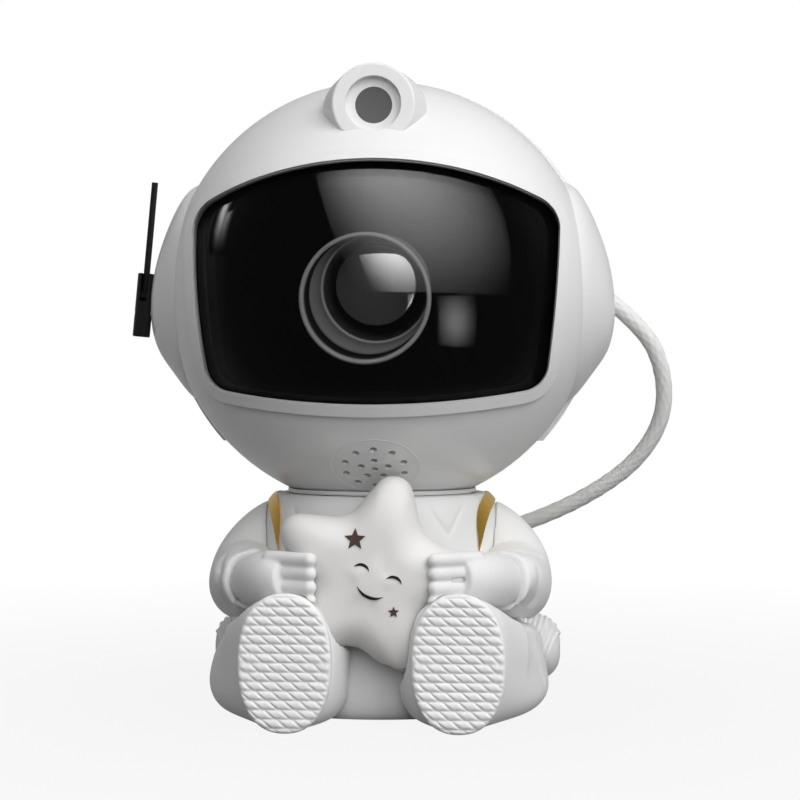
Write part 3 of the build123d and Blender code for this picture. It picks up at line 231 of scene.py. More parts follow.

# %% [markdown]
# ## The hose
# A braided hose leaves the right ear, arches outward and back, and goes into the side of the backpack.
# Its line is one smooth curve through a few listed points, and a tube follows it.

# %% The hose's line
HOSE_ROUTE = (
    (76.5, 4.5, 139.5), (91, 8, 128.5), (98.1, 12.5, 113.5), (98.5, 18, 97), (89.5, 24.5, 81.5),
    (73.5, 31.5, 69.5), (55.5, 38.5, 60.5), (40.5, 43.5, 55.5), (28.5, 46, 53),
)
HOSE_RADIUS = 2.9


def nurbs_line(name, route):
    """A smooth curve that has the route's points, given in millimetres, as its control points."""
    data = bpy.data.curves.new(name, "CURVE")
    data.dimensions, data.resolution_u = "3D", 24
    spline = data.splines.new("NURBS")
    spline.points.add(len(route) - 1)
    for point, (x, y, z) in zip(spline.points, route):
        point.co = (x * MM, y * MM, z * MM, 1)
    spline.order_u = 3
    spline.use_endpoint_u = True
    line = bpy.data.objects.new(name, data)
    SCENE.collection.objects.link(line)
    return line


def shaped_mesh(source):
    """A new mesh of an object as its modifiers leave it."""
    return bpy.data.meshes.new_from_object(
        source.evaluated_get(bpy.context.evaluated_depsgraph_get()))


def line_points(line):
    """The points along a curve, as a plain list."""
    mesh = shaped_mesh(line)
    points = [vertex.co.copy() for vertex in mesh.vertices]
    bpy.data.meshes.remove(mesh)
    return points


hose_line = nurbs_line("hose_line", HOSE_ROUTE)
hose_path = line_points(hose_line)
hose_length = sum((b - a).length for a, b in zip(hose_path, hose_path[1:]))
bpy.data.objects.remove(hose_line)
print("hose:", len(hose_path), "points,", round(hose_length * 1000, 1), "mm")

# %% Helpers for meshes


def new_object(name, verts, faces, material, smooth=True, uvs=None):
    """A mesh object at the origin; uvs are given per vertex."""
    mesh = bpy.data.meshes.new(name)
    mesh.from_pydata([tuple(v) for v in verts], [], [tuple(f) for f in faces])
    if uvs is not None:
        layer = mesh.uv_layers.new(name="UVMap")
        for loop in mesh.loops:
            layer.data[loop.index].uv = uvs[loop.vertex_index]
    mesh.materials.append(material)
    if smooth:
        mesh.polygons.foreach_set("use_smooth", [True] * len(mesh.polygons))
    mesh.update()
    made = bpy.data.objects.new(name, mesh)
    SCENE.collection.objects.link(made)
    return made


def ring_faces(rows, around, loop=False):
    """Quads between rings of points, and from the last ring to the first one in a loop."""
    return [
        (row * around + k, row * around + (k + 1) % around,
         (row + 1) % rows * around + (k + 1) % around, (row + 1) % rows * around + k)
        for row in range(rows if loop else rows - 1) for k in range(around)
    ]


def end_caps(rows, around):
    """One face over the first ring, turned back, and one over the last ring."""
    return [tuple(range(around))[::-1], tuple((rows - 1) * around + k for k in range(around))]


def turn_outward(piece):
    """Makes all the faces of a closed mesh look outward."""
    mesh = bmesh.new()
    mesh.from_mesh(piece.data)
    bmesh.ops.recalc_face_normals(mesh, faces=mesh.faces)
    mesh.to_mesh(piece.data)
    mesh.free()


print("a tube of 3 rings by 8 has", len(ring_faces(3, 8) + end_caps(3, 8)), "faces")

# %% The braided tube


def resample(points, step):
    """Points at even spacing along a polyline, with each one's distance from its start."""
    lengths = np.array([0.0] + [(b - a).length for a, b in zip(points, points[1:])]).cumsum()
    count = max(2, int(round(lengths[-1] / step)) + 1)
    co = np.array([tuple(p) for p in points])
    at = np.linspace(0, lengths[-1], count)
    return np.stack([np.interp(at, lengths, co[:, axis]) for axis in range(3)], axis=1), at


def tube_frames(points):
    """Two steady side directions for each point of a path."""
    tangents = np.gradient(points, axis=0)
    tangents /= np.linalg.norm(tangents, axis=1, keepdims=True)
    side = np.cross(tangents[0], (0, 0, 1.0))
    side /= np.linalg.norm(side)
    sides = []
    for tangent in tangents:
        side = side - tangent * side.dot(tangent)
        side /= np.linalg.norm(side)
        sides.append(side)
    sides = np.array(sides)
    return sides, np.cross(tangents, sides)


def braid_tube(name, path, radius, material, around=48, step=0.0006, twist=0.0115, strands=8,
               depth=0.00038):
    """A closed tube whose skin bulges in a diamond braid."""
    points, at = resample(path, step)
    sides, ups = tube_frames(points)
    angle = np.arange(around) * 2 * pi / around
    turn = 2 * pi * at / twist
    # two sets of strands wind opposite ways, and their crossings stand out a little more
    one_way = np.abs(np.sin((angle[None] * strands / 2 + turn[:, None])))
    other_way = np.abs(np.sin((angle[None] * strands / 2 - turn[:, None])))
    bulge = np.sqrt(np.maximum(one_way, other_way) * 0.6 + one_way * other_way * 0.4)
    reach = radius - depth + depth * bulge
    ring = sides[:, None] * np.cos(angle)[None, :, None] + ups[:, None] * np.sin(angle)[None, :, None]
    verts = (points[:, None] + ring * reach[:, :, None]).reshape(-1, 3).tolist()
    rows = len(points)
    return new_object(name, verts, ring_faces(rows, around) + end_caps(rows, around), material)


hose = braid_tube("braided_hose", hose_path, HOSE_RADIUS * MM, FINISHES["hose"])
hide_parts("hose")
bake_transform(hose)
print(hose.name, len(hose.data.polygons), "faces")

# %% [markdown]
# ## Soft forms
# The vinyl body is modelled like clay: folds at the elbows and a knee, a rolled cuff behind each
# glove, and legs whose outer corner is rounded off. Each solid is remeshed evenly, softened, and
# then pushed in or out along its normals near a few drawn strokes.

# %% The modelling tool
# a stroke fades over this share of its length at each end, to this share of its height
FADED_END, LEFT_AT_END = 0.2, 0.15


def stroke_push(points, strokes):
    """How far each point moves outward, in metres. A stroke is (height, width, line), in mm."""
    push = np.zeros(len(points))
    for height, width, line in strokes:
        line = np.array(line) * MM
        lengths = np.linalg.norm(np.diff(line, axis=0), axis=1)
        total, before = lengths.sum(), 0.0
        nearest, share = np.full(len(points), np.inf), np.zeros(len(points))
        for start, end, length in zip(line, line[1:], lengths):
            along = np.clip((points - start) @ (end - start) / length**2, 0, 1)
            gap = np.linalg.norm(points - start - along[:, None] * (end - start), axis=1)
            closer = gap < nearest
            nearest[closer] = gap[closer]
            share[closer] = (before + along[closer] * length) / total
            before += length
        fade = np.clip(np.minimum(share, 1 - share) / FADED_END, 0, 1) ** 0.5
        push += height * MM * np.exp(-(nearest / (width * MM)) ** 2) * np.maximum(fade, LEFT_AT_END)
    return push


def model_in_clay(node_name, strokes=(), grain=0.7, soften=8, slot="white_shell"):
    """Replaces a solid of the stand with an evenly meshed copy, softened and worked with strokes."""
    rough = bpy.data.objects.new(node_name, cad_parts[node_name].data.copy())
    SCENE.collection.objects.link(rough)
    even = rough.modifiers.new("even", "REMESH")
    even.mode, even.voxel_size = "VOXEL", grain * MM
    soft = rough.modifiers.new("soft", "SMOOTH")
    soft.iterations, soft.factor = soften, 0.5
    done = shaped_mesh(rough)
    bpy.data.objects.remove(rough)
    points, normals = np.empty(len(done.vertices) * 3), np.empty(len(done.vertices) * 3)
    done.vertices.foreach_get("co", points)
    done.vertex_normals.foreach_get("vector", normals)
    points, normals = points.reshape(-1, 3), normals.reshape(-1, 3)
    points = points + normals * stroke_push(points, strokes)[:, None]
    done.vertices.foreach_set("co", points.ravel())
    done.polygons.foreach_set("use_smooth", [True] * len(done.polygons))
    done.materials.clear()
    done.materials.append(FINISHES["body_white" if slot == "white_shell" else slot])
    done.update()
    piece = bpy.data.objects.new(node_name + "_modelled", done)
    SCENE.collection.objects.link(piece)
    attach(piece, "stand")
    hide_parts(node_name)
    print(piece.name, len(done.vertices), "points")


trial = stroke_push(np.zeros((1, 3)), [(1, 2, ((-5, 0, 0), (5, 0, 0)))])
print("a stroke 1 mm high lifts a point on its line by", trial[0] / MM, "mm")

# %% Sleeves and gloves
model_in_clay("sleeve_left", (
    (-1.1, 1.9, ((-50.6, -27.2, 52.6), (-51.5, -35.4, 48.1), (-51.9, -35.4, 43.5), (-51, -31.6, 37.9),
                 (-48.8, -28, 33.8))),
    (0.5, 1.5, ((-46.4, -35.9, 52.7), (-48.1, -37.9, 47), (-48.3, -38.6, 43.2), (-46.7, -38.6, 38.7),
                (-45.2, -30, 34.1))),
    (-1.2, 1.5, ((-42.6, -34.9, 53.3), (-44.4, -36, 50.1), (-45.4, -37, 46.3), (-45.2, -37.5, 42.5),
                 (-43.3, -37.4, 37.9), (-42, -37.3, 35.6))),
    (1.3, 1.8, ((-37.9, -32.9, 54.8), (-40.7, -34.3, 52.6), (-42.8, -35.7, 48.2), (-43.4, -36.6, 43.7),
                (-42.3, -36.9, 39.1), (-40.4, -36.6, 36.5))),
    (-0.9, 0.8, ((-42.2, -34.7, 53.2), (-41, -34.7, 50.6))),
    (-0.9, 0.9, ((-45.6, -36.8, 48.0), (-44.3, -36.8, 44.7))),
    (-0.9, 0.9, ((-45.4, -37.7, 41.2), (-44, -37.7, 38.6))),
))
model_in_clay("sleeve_right", (
    (-0.9, 1.6, ((42.8, -35.5, 49.8), (43.4, -36.3, 46), (43.8, -37, 42.2), (42.8, -37.3, 37.7))),
    (1.3, 1.7, ((38.3, -33.5, 51.5), (39.6, -34.6, 47.7), (40.2, -35.5, 43.3), (39.6, -35.9, 38.8))),
    (0.5, 1.6, ((47.3, -37.1, 50.6), (48.6, -38.3, 45.5), (47.9, -38.8, 40.4), (46.1, -31.1, 35.7))),
    (-0.8, 0.9, ((43.6, -27.8, 54.3), (48.8, -28.5, 53.4), (54.5, -16.8, 51.1))),
    (-0.8, 1.9, ((52, -32.5, 50.2), (53.3, -32.6, 44.3), (52, -30.5, 38.9), (49.5, -29.1, 35.5))),
    (-1.0, 0.9, ((43.2, -36.2, 48), (43.6, -36.4, 45.2))),
    (-1.0, 0.9, ((43.6, -37.2, 41.2), (43.9, -37.5, 38.2))),
))
for side in ("left", "right"):
    model_in_clay("glove_" + side, grain=0.45, soften=12)

# %% Legs, star and torso
# the upper corner along the right leg's outer side, from the hip to the shin
OUTER_CORNER = ((58, 24, 23), (58, -5, 24), (57, -24, 25), (50, -44, 28))
model_in_clay("leg_left", (
    (-4.2, 11, [(-x, y, z + 3) for x, y, z in OUTER_CORNER]),
), grain=0.8, soften=40)
model_in_clay("leg_right", (
    (-3.8, 11, OUTER_CORNER),
    (-1.1, 1.6, ((48.8, -41.3, 29.2), (52.2, -35.4, 23.2), (54.2, -30.8, 17.4), (55, -25.6, 10))),
), grain=0.8, soften=40)
# the star's lowest arm narrows to its tip
model_in_clay("star", (
    (-4.5, 5, ((7.5, -56, 15), (7.5, -44, 15))),
), grain=0.6, soften=22, slot="star_white")
model_in_clay("torso", (
    (-0.5, 0.7, ((16.1, -31.7, 69.6), (20, -31, 63.7), (23.6, -29.3, 59), (26.5, -26.6, 65.4),
                 (28.5, -22.5, 70.4))),
    (-0.5, 0.8, ((-28.3, -24.2, 68.4), (-26.4, -27, 63.3), (-28.1, -26.4, 54))),
), grain=0.7, soften=3)

# %% [markdown]
# ## Soles
# Each sole is an oval cushion. Its tread is made of rows, each one like a strand of rope: a round
# ridge cut by slanted grooves. The height is a formula of the place on the sole.

# %% The tread's height
# the sole, in mm: its middle (x, z), half width and half height, and how square its oval is
SOLE_MIDDLE, SOLE_HALF, SOLE_POWER = (27.0, 21.8), (14.6, 21.7), 2.3
SOLE_BACK, SOLE_RIM, TREAD = -62.0, -64.7, 0.68
# how wide and deep its edge is rounded, and how far inward the tread reaches its full height
RIM_ROUND, RIM_DROP, TREAD_START = 1.1, 0.9, 1.5
# the tread: rows one under the other, each cut in cells that lean and that shift from row to row
ROW, ROW_TOP, ROUNDNESS = 2.9, 0.28, 2.6
CELL, CELL_START, LEAN, ROW_SHIFT = 4.88, 0.57, 1.1, -1.03
GROOVE_HALF, GROOVE_DEPTH = 0.55, 0.85


def tread_height(x, z):
    """Height of the tread, from 0 in a groove to 1 on a crown, at mm from the sole's middle."""
    row = np.floor((ROW_TOP - z) / ROW)
    down = (ROW_TOP - z) / ROW - row
    ridge = 1 - np.abs(2 * down - 1) ** ROUNDNESS
    cell = (x - CELL_START - LEAN * (down - 0.5) * ROW - ROW_SHIFT * row) / CELL
    beside = np.abs(cell - np.round(cell)) * CELL
    return ridge * (1 - GROOVE_DEPTH * np.exp(-(beside / GROOVE_HALF) ** 2))


print("tread at the middle:", round(float(tread_height(0.0, 0.0)), 3))

# %% The soles


def oval(turn, power):
    """Points of the unit oval: an ellipse at power 2, squarer above it."""
    across, up = np.cos(turn), np.sin(turn)
    return tuple(np.sign(axis) * np.abs(axis) ** (2 / power) for axis in (across, up))


def make_sole(side, rings=100, spokes=288):
    """An oval cushion of rings round its middle; side is -1 for the left one, 1 for the right."""
    across, up = oval(np.arange(spokes) * 2 * pi / spokes, SOLE_POWER)
    share = np.linspace(0, 1, rings + 1)[1:, None]
    x, z = share * across * SOLE_HALF[0], share * up * SOLE_HALF[1]
    rim = np.clip((1 - share) * SOLE_HALF[0] / RIM_ROUND, 0, 1)
    crown = np.clip((1 - share) * SOLE_HALF[0] / TREAD_START, 0, 1)
    drop = RIM_DROP * (1 - np.sqrt(1 - (1 - rim) ** 2))
    y = SOLE_RIM + drop - TREAD * crown**0.5 * tread_height(x, z)
    verts = [(0, SOLE_RIM - TREAD * float(tread_height(0.0, 0.0)), 0)]
    verts += list(zip(x.ravel(), y.ravel(), z.ravel()))
    verts += [(a * SOLE_HALF[0], SOLE_BACK, u * SOLE_HALF[1]) for a, u in zip(across, up)]
    verts = [((side * SOLE_MIDDLE[0] + vx) * MM, vy * MM, (SOLE_MIDDLE[1] + vz) * MM)
             for vx, vy, vz in verts]
    faces = [(0, 1 + k, 1 + (k + 1) % spokes) for k in range(spokes)]
    for ring in range(rings):
        low, high = 1 + ring * spokes, 1 + (ring + 1) * spokes
        faces += [(low + k, high + k, high + (k + 1) % spokes, low + (k + 1) % spokes)
                  for k in range(spokes)]
    faces.append(tuple(1 + rings * spokes + k for k in range(spokes)))
    name = "sole_right" if side > 0 else "sole_left"
    sole = new_object(name + "_tread", verts, faces, FINISHES["sole_white"])
    turn_outward(sole)
    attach(sole, "stand")
    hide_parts(name)
    print(sole.name, len(sole.data.polygons), "faces")


for side in (-1, 1):
    make_sole(side)

# %% [markdown]
# ## The ribbed roll
# The roll behind the hips is a closed cylinder with round ends, and slanted ribs lie round each
# end. The ribs are one ring, placed by Geometry Nodes on a line of points that carry its size,
# and then laid on the roll's skin.

# %% The roll
# its axis, its radius, half its length and the radius that rounds its ends, in mm
ROLL_Y, ROLL_Z, ROLL_R, ROLL_HALF, ROLL_END = 37.5, 13.6, 11.8, 62.8, 9.0


def roll_radius(x):
    """Radius of the roll, in mm, at a distance from its middle."""
    into = np.clip(np.abs(x) - (ROLL_HALF - ROLL_END), 0, ROLL_END)
    return ROLL_R - ROLL_END + np.sqrt(ROLL_END**2 - into**2)


def roll_body(around=64):
    """The plain roll, turned about its axis."""
    bend = np.linspace(0, pi / 2, 14)
    right = ROLL_HALF - ROLL_END + ROLL_END * np.sin(bend)
    stations = np.concatenate([-right[::-1], right])
    turn = np.arange(around) * 2 * pi / around
    verts = [(x * MM, (ROLL_Y + roll_radius(x) * cos(t)) * MM, (ROLL_Z + roll_radius(x) * sin(t)) * MM)
             for x in stations for t in turn]
    rows = len(stations)
    return new_object("roll_body", verts, ring_faces(rows, around) + end_caps(rows, around),
                      FINISHES["body_white"])


print("roll radius at the middle:", float(roll_radius(0)), "mm")

# %% The ribs as Geometry Nodes


def hug_roll(tree, sink=0.22):
    """A Set Position node that lays every point on the roll's skin, a little sunk."""

    def result(operation, first, second=None):
        node = add_node(tree, "ShaderNodeMath", operation=operation)
        for socket, value in zip(node.inputs, (first, second)):
            if isinstance(value, float):
                socket.default_value = value
            elif value is not None:
                link(tree, value, socket)
        return node.outputs["Value"]

    where = add_node(tree, "GeometryNodeInputPosition")
    parts = add_node(tree, "ShaderNodeSeparateXYZ")
    link(tree, where.outputs["Position"], parts.inputs["Vector"])
    over = result("SUBTRACT", result("ABSOLUTE", parts.outputs["X"]), (ROLL_HALF - ROLL_END) * MM)
    into = result("MINIMUM", result("MAXIMUM", over, 0.0), ROLL_END * MM)
    bend = result("SQRT", result("SUBTRACT", (ROLL_END * MM) ** 2, result("MULTIPLY", into, into)))
    reach = result("ADD", bend, (ROLL_R - ROLL_END - sink) * MM)
    deep, high = (result("SUBTRACT", parts.outputs[axis], middle * MM)
                  for axis, middle in (("Y", ROLL_Y), ("Z", ROLL_Z)))
    gap = result("SQRT", result("ADD", result("MULTIPLY", deep, deep), result("MULTIPLY", high, high)))
    scale = result("DIVIDE", reach, gap)
    joined = add_node(tree, "ShaderNodeCombineXYZ")
    link(tree, parts.outputs["X"], joined.inputs["X"])
    link(tree, result("ADD", result("MULTIPLY", deep, scale), ROLL_Y * MM), joined.inputs["Y"])
    link(tree, result("ADD", result("MULTIPLY", high, scale), ROLL_Z * MM), joined.inputs["Z"])
    hug = add_node(tree, "GeometryNodeSetPosition")
    link(tree, joined.outputs["Vector"], hug.inputs["Position"])
    return hug


def rib_nodes():
    """A node tree that lays a slanted ring on every point, scaled by the point's reach."""
    tree = bpy.data.node_groups.new("roll ribs", "GeometryNodeTree")
    tree.is_modifier = True
    for name, kind in (("Geometry", "NodeSocketGeometry"), ("Rib Radius", "NodeSocketFloat"),
                       ("Slant", "NodeSocketFloat"), ("Material", "NodeSocketMaterial")):
        tree.interface.new_socket(name, in_out="INPUT", socket_type=kind)
    tree.interface.new_socket("Geometry", in_out="OUTPUT", socket_type="NodeSocketGeometry")
    given, out = add_node(tree, "NodeGroupInput"), add_node(tree, "NodeGroupOutput")
    ring = add_node(tree, "GeometryNodeCurvePrimitiveCircle", inputs={"Resolution": 72, "Radius": 1.0})
    stand_up = add_node(tree, "GeometryNodeTransform", inputs={"Rotation": (0, pi / 2, 0)})
    reach = add_node(tree, "GeometryNodeInputNamedAttribute", inputs={"Name": "reach"},
                     data_type="FLOAT")
    where = add_node(tree, "GeometryNodeInputPosition")
    parts = add_node(tree, "ShaderNodeSeparateXYZ")
    side = add_node(tree, "ShaderNodeMath", operation="SIGN")
    lean = add_node(tree, "ShaderNodeMath", operation="MULTIPLY")
    turn = add_node(tree, "ShaderNodeCombineXYZ")
    place = add_node(tree, "GeometryNodeInstanceOnPoints")
    real = add_node(tree, "GeometryNodeRealizeInstances")
    hug = hug_roll(tree)
    profile = add_node(tree, "GeometryNodeCurvePrimitiveCircle", inputs={"Resolution": 10})
    tube = add_node(tree, "GeometryNodeCurveToMesh")
    smooth = add_node(tree, "GeometryNodeSetShadeSmooth")
    paint = add_node(tree, "GeometryNodeSetMaterial")
    for start, end in (
        (where.outputs["Position"], parts.inputs["Vector"]),
        (parts.outputs["X"], side.inputs[0]),
        (side.outputs["Value"], lean.inputs[0]),
        (given.outputs["Slant"], lean.inputs[1]),
        (lean.outputs["Value"], turn.inputs["Y"]),
        (ring.outputs["Curve"], stand_up.inputs["Geometry"]),
        (given.outputs["Geometry"], place.inputs["Points"]),
        (stand_up.outputs["Geometry"], place.inputs["Instance"]),
        (turn.outputs["Vector"], place.inputs["Rotation"]),
        (reach.outputs["Attribute"], place.inputs["Scale"]),
        (place.outputs["Instances"], real.inputs["Geometry"]),
        (real.outputs["Geometry"], hug.inputs["Geometry"]),
        (hug.outputs["Geometry"], tube.inputs["Curve"]),
        (given.outputs["Rib Radius"], profile.inputs["Radius"]),
        (profile.outputs["Curve"], tube.inputs["Profile Curve"]),
        (tube.outputs["Mesh"], smooth.inputs["Geometry"]),
        (smooth.outputs["Geometry"], paint.inputs["Geometry"]),
        (given.outputs["Material"], paint.inputs["Material"]),
        (paint.outputs["Geometry"], out.inputs["Geometry"]),
    ):
        link(tree, start, end)
    return tree


RIB_NODES = rib_nodes()
print(RIB_NODES.name, "has", len(RIB_NODES.nodes), "nodes")

# %% The roll and its ribs in place


def roll_ribs(count=9, pitch=1.8, last=58.6, slant=0.38, rib=0.7):
    """Ribs from the roll's two ends inward; slant is in radians, the rest in mm."""
    stations = [side * (last - pitch * step) for side in (-1, 1) for step in range(count)]
    points = bpy.data.meshes.new("rib places")
    points.from_pydata([(x * MM, ROLL_Y * MM, ROLL_Z * MM) for x in stations], [], [])
    reach = points.attributes.new("reach", "FLOAT", "POINT")
    reach.data.foreach_set("value", [(float(roll_radius(abs(x))) - 0.1) * MM for x in stations])
    carrier = bpy.data.objects.new("rib carrier", points)
    SCENE.collection.objects.link(carrier)
    nodes = carrier.modifiers.new("ribs", "NODES")
    nodes.node_group = RIB_NODES
    for name, value in (("Rib Radius", rib * MM), ("Slant", slant),
                        ("Material", FINISHES["body_white"])):
        nodes[RIB_NODES.interface.items_tree[name].identifier] = value
    mesh = shaped_mesh(carrier)
    bpy.data.objects.remove(carrier)
    ribs = bpy.data.objects.new("roll_ribs", mesh)
    SCENE.collection.objects.link(ribs)
    return ribs


for piece in (roll_body(), roll_ribs()):
    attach(piece, "stand")
    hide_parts("pack_roll")
    print(piece.name, len(piece.data.polygons), "faces")

# %% [markdown]
# ## The lens hood
# The hood is a stepped funnel. Each step has a rounded edge, and a painted highlight on it stands in
# for the light it catches as a thin ring, while the walls between stay dark. A colour attribute
# carries that painted highlight.

# %% The hood's rings


def hood_painted_highlight_finish():
    """A satin finish whose colour is multiplied by painted highlights on the rings."""
    material = new_finish("lens hood with painted ring highlights", (0.8, 0.8, 0.8), (1, 1, 1), rough=(0.3, 0.45))
    tree = material.node_tree
    body = next(node for node in tree.nodes if node.type == "BSDF_PRINCIPLED")
    wander = body.inputs["Base Color"].links[0].from_socket
    # the painted highlight of each ring, read from a colour attribute, lightens the hood's colour on
    # the step edges
    painted_highlight = add_node(tree, "ShaderNodeAttribute", attribute_name="painted_highlight")
    mix = add_node(tree, "ShaderNodeMix", data_type="RGBA", blend_type="MULTIPLY",
                   inputs={"Factor": 1.0})
    link(tree, wander, mix.inputs["A"])
    link(tree, painted_highlight.outputs["Color"], mix.inputs["B"])
    link(tree, mix.outputs["Result"], body.inputs["Base Color"])
    return material


# y, middle (x, z above the head's middle) and radius in mm, and the painted highlight of that ring
HOOD_STATIONS = (
    (-26.0, 1.3, 1.6, 13.9, 0.01), (-33.0, 0.9, 0.9, 15.0, 0.01), (-40.0, 0.6, 0.5, 16.4, 0.03),
    (-42.6, 0.4, 0.1, 17.0, 0.06), (-43.2, 0.3, 0.0, 17.0, 0.62), (-43.4, 0.3, 0.0, 17.6, 0.62),
    (-43.2, 0.2, -0.1, 17.8, 0.24), (-43.8, -0.5, -0.8, 18.3, 0.3), (-45.2, -1.4, -1.7, 18.9, 0.38),
    (-45.6, -1.7, -2.0, 19.2, 0.36), (-45.2, -1.8, -2.1, 19.3, 0.01), (-48.8, -2.7, -3.3, 19.5, 0.01),
    (-49.7, -2.9, -3.6, 19.7, 0.75), (-50.0, -2.9, -3.6, 20.4, 0.9), (-49.7, -2.9, -3.6, 21.0, 0.75),
    (-48.8, -2.8, -3.5, 21.2, 0.03), (-38.0, -1.2, -2.3, 18.8, 0.01), (-24.0, 0.4, 0.6, 15.3, 0.01),
)


def make_hood(around=128):
    """A closed ring of rings: out along the inner steps and back along the outer wall."""
    turn = np.arange(around) * 2 * pi / around
    verts, painted_highlights = [], []
    for y, x, z, radius, painted_highlight in HOOD_STATIONS:
        verts += [((x + radius * cos(t)) * MM, y * MM, HEAD.z + (z + radius * sin(t)) * MM)
                  for t in turn]
        painted_highlights += [painted_highlight] * around
    faces = ring_faces(len(HOOD_STATIONS), around, loop=True)
    hood = new_object("hood_rings", verts, faces, hood_painted_highlight_finish())
    # each ring's painted highlight is stored as a colour attribute
    colours = hood.data.color_attributes.new("painted_highlight", "FLOAT_COLOR", "POINT")
    colours.data.foreach_set("color", [c for painted_highlight in painted_highlights for c in (painted_highlight, painted_highlight, painted_highlight, 1)])
    turn_outward(hood)
    hood.visible_glossy = False  # the lens mirrors the softbox past the hood's lip
    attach(hood, "head")
    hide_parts("lens_hood")
    print(hood.name, len(hood.data.polygons), "faces")


make_hood()

# %% [markdown]
# ## The visor's gasket
# The rubber lip stands a little proud of the glass, so it is a copy of the plain gasket with
# every point moved outward from the helmet's middle.

# %% A gasket that stands proud


def raised_gasket(rise=0.9):
    """A copy of the gasket, raised off the glass; rise is in mm."""
    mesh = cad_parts["visor_gasket"].data.copy()
    for vertex in mesh.vertices:
        vertex.co += (vertex.co - HEAD).normalized() * rise * MM
    mesh.materials.clear()
    mesh.materials.append(FINISHES["gasket"])
    gasket = bpy.data.objects.new("raised_gasket", mesh)
    SCENE.collection.objects.link(gasket)
    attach(gasket, "head")
    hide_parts("visor_gasket")
    print(gasket.name, len(mesh.polygons), "faces")


raised_gasket()

# %% [markdown]
# ## The projection lens
# The front lens is a shallow dome of coated glass. Its wide curve mirrors far more of the room
# than a ball would, so it shows the softbox across its upper right quarter.

# %% The shallow dome
LENS = Vector((0, -24, 141)) * MM
# how far its skirt reaches back, and the radius of the small flat at its middle, in mm
LENS_BACK, LENS_MIDDLE = 5.0, 0.4


def make_lens(radius=13.3, curve=32.0, front=15.0, edge=0.5, aim=(1.0, -1.2), around=96):
    """A round lens with a rolled edge, in mm; aim moves the dome's own centre sideways and up."""
    turn = np.arange(around) * 2 * pi / around
    rings = [(reach, 0.0) for reach in np.linspace(LENS_MIDDLE, radius - edge, 24)]
    rings += [(radius - edge + edge * sin(bend), edge * (1 - cos(bend)))
              for bend in np.linspace(0.3, pi / 2, 5)]
    rings += [(radius, LENS_BACK), (LENS_MIDDLE, LENS_BACK)]
    verts = []
    for reach, back in rings:
        x, z = reach * np.cos(turn), reach * np.sin(turn)
        y = curve - front - np.sqrt(curve**2 - (x - aim[0]) ** 2 - (z - aim[1]) ** 2) + back
        verts += [LENS + Vector(point) * MM for point in zip(x, y, z)]
    faces = ring_faces(len(rings), around) + end_caps(len(rings), around)
    lens = new_object("coated_lens", verts, faces, FINISHES["lens"])
    turn_outward(lens)
    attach(lens, "head")
    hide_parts("dome_lens")
    print(lens.name, len(lens.data.polygons), "faces")
    return lens


coated_lens = make_lens()

# %% [markdown]
# ## Floor and backdrop
# The room is white where the camera looks, and behind the object also where glass mirrors it or
# lets it through. The rest of the room is dim, so that the lamps alone shape the object.

# %% The floor and the world


def backdrop_share(tree, behind, camera_share=None):
    """1 where a ray meets the white backdrop: for the camera, and behind the object for gloss."""
    ray = add_node(tree, "ShaderNodeLightPath")
    clear = add_node(tree, "ShaderNodeMath", operation="MAXIMUM")
    link(tree, ray.outputs["Is Glossy Ray"], clear.inputs[0])
    link(tree, ray.outputs["Is Transmission Ray"], clear.inputs[1])
    mirrored = add_node(tree, "ShaderNodeMath", operation="MULTIPLY")
    link(tree, clear.outputs["Value"], mirrored.inputs[0])
    link(tree, behind, mirrored.inputs[1])
    seen = ray.outputs["Is Camera Ray"]
    if camera_share is not None:
        part = add_node(tree, "ShaderNodeMath", operation="MULTIPLY")
        link(tree, seen, part.inputs[0])
        link(tree, camera_share, part.inputs[1])
        seen = part.outputs["Value"]
    share = add_node(tree, "ShaderNodeMath", operation="MAXIMUM")
    link(tree, seen, share.inputs[0])
    link(tree, mirrored.outputs["Value"], share.inputs[1])
    return share.outputs["Value"]


def behind_mask(tree, vector, start, end, top=1.0):
    """A share that grows from 0 to top while the vector's Y goes from start to end."""
    parts = add_node(tree, "ShaderNodeSeparateXYZ")
    mask = add_node(tree, "ShaderNodeMapRange", inputs={
        "From Min": start, "From Max": end, "To Max": top})
    link(tree, vector, parts.inputs["Vector"])
    link(tree, parts.outputs["Y"], mask.inputs["Value"])
    return mask.outputs["Result"]


def white_room():
    """The world: white as the backdrop, dim and a little blue as a light."""
    world = bpy.data.worlds.new("white room")
    SCENE.world = world
    tree = empty_tree(world)
    out = add_node(tree, "ShaderNodeOutputWorld")
    dim = add_node(tree, "ShaderNodeBackground", inputs={"Color": (0.93, 0.96, 1, 1), "Strength": 0.1})
    white = add_node(tree, "ShaderNodeBackground", inputs={"Color": (1, 1, 1, 1), "Strength": 1.0})
    way = add_node(tree, "ShaderNodeTexCoord")
    behind = behind_mask(tree, way.outputs["Generated"], 0.0, 0.7, top=0.35)
    mix = add_node(tree, "ShaderNodeMixShader")
    link(tree, backdrop_share(tree, behind), mix.inputs["Fac"])
    link(tree, dim.outputs["Background"], mix.inputs[1])
    link(tree, white.outputs["Background"], mix.inputs[2])
    link(tree, mix.outputs["Shader"], out.inputs["Surface"])


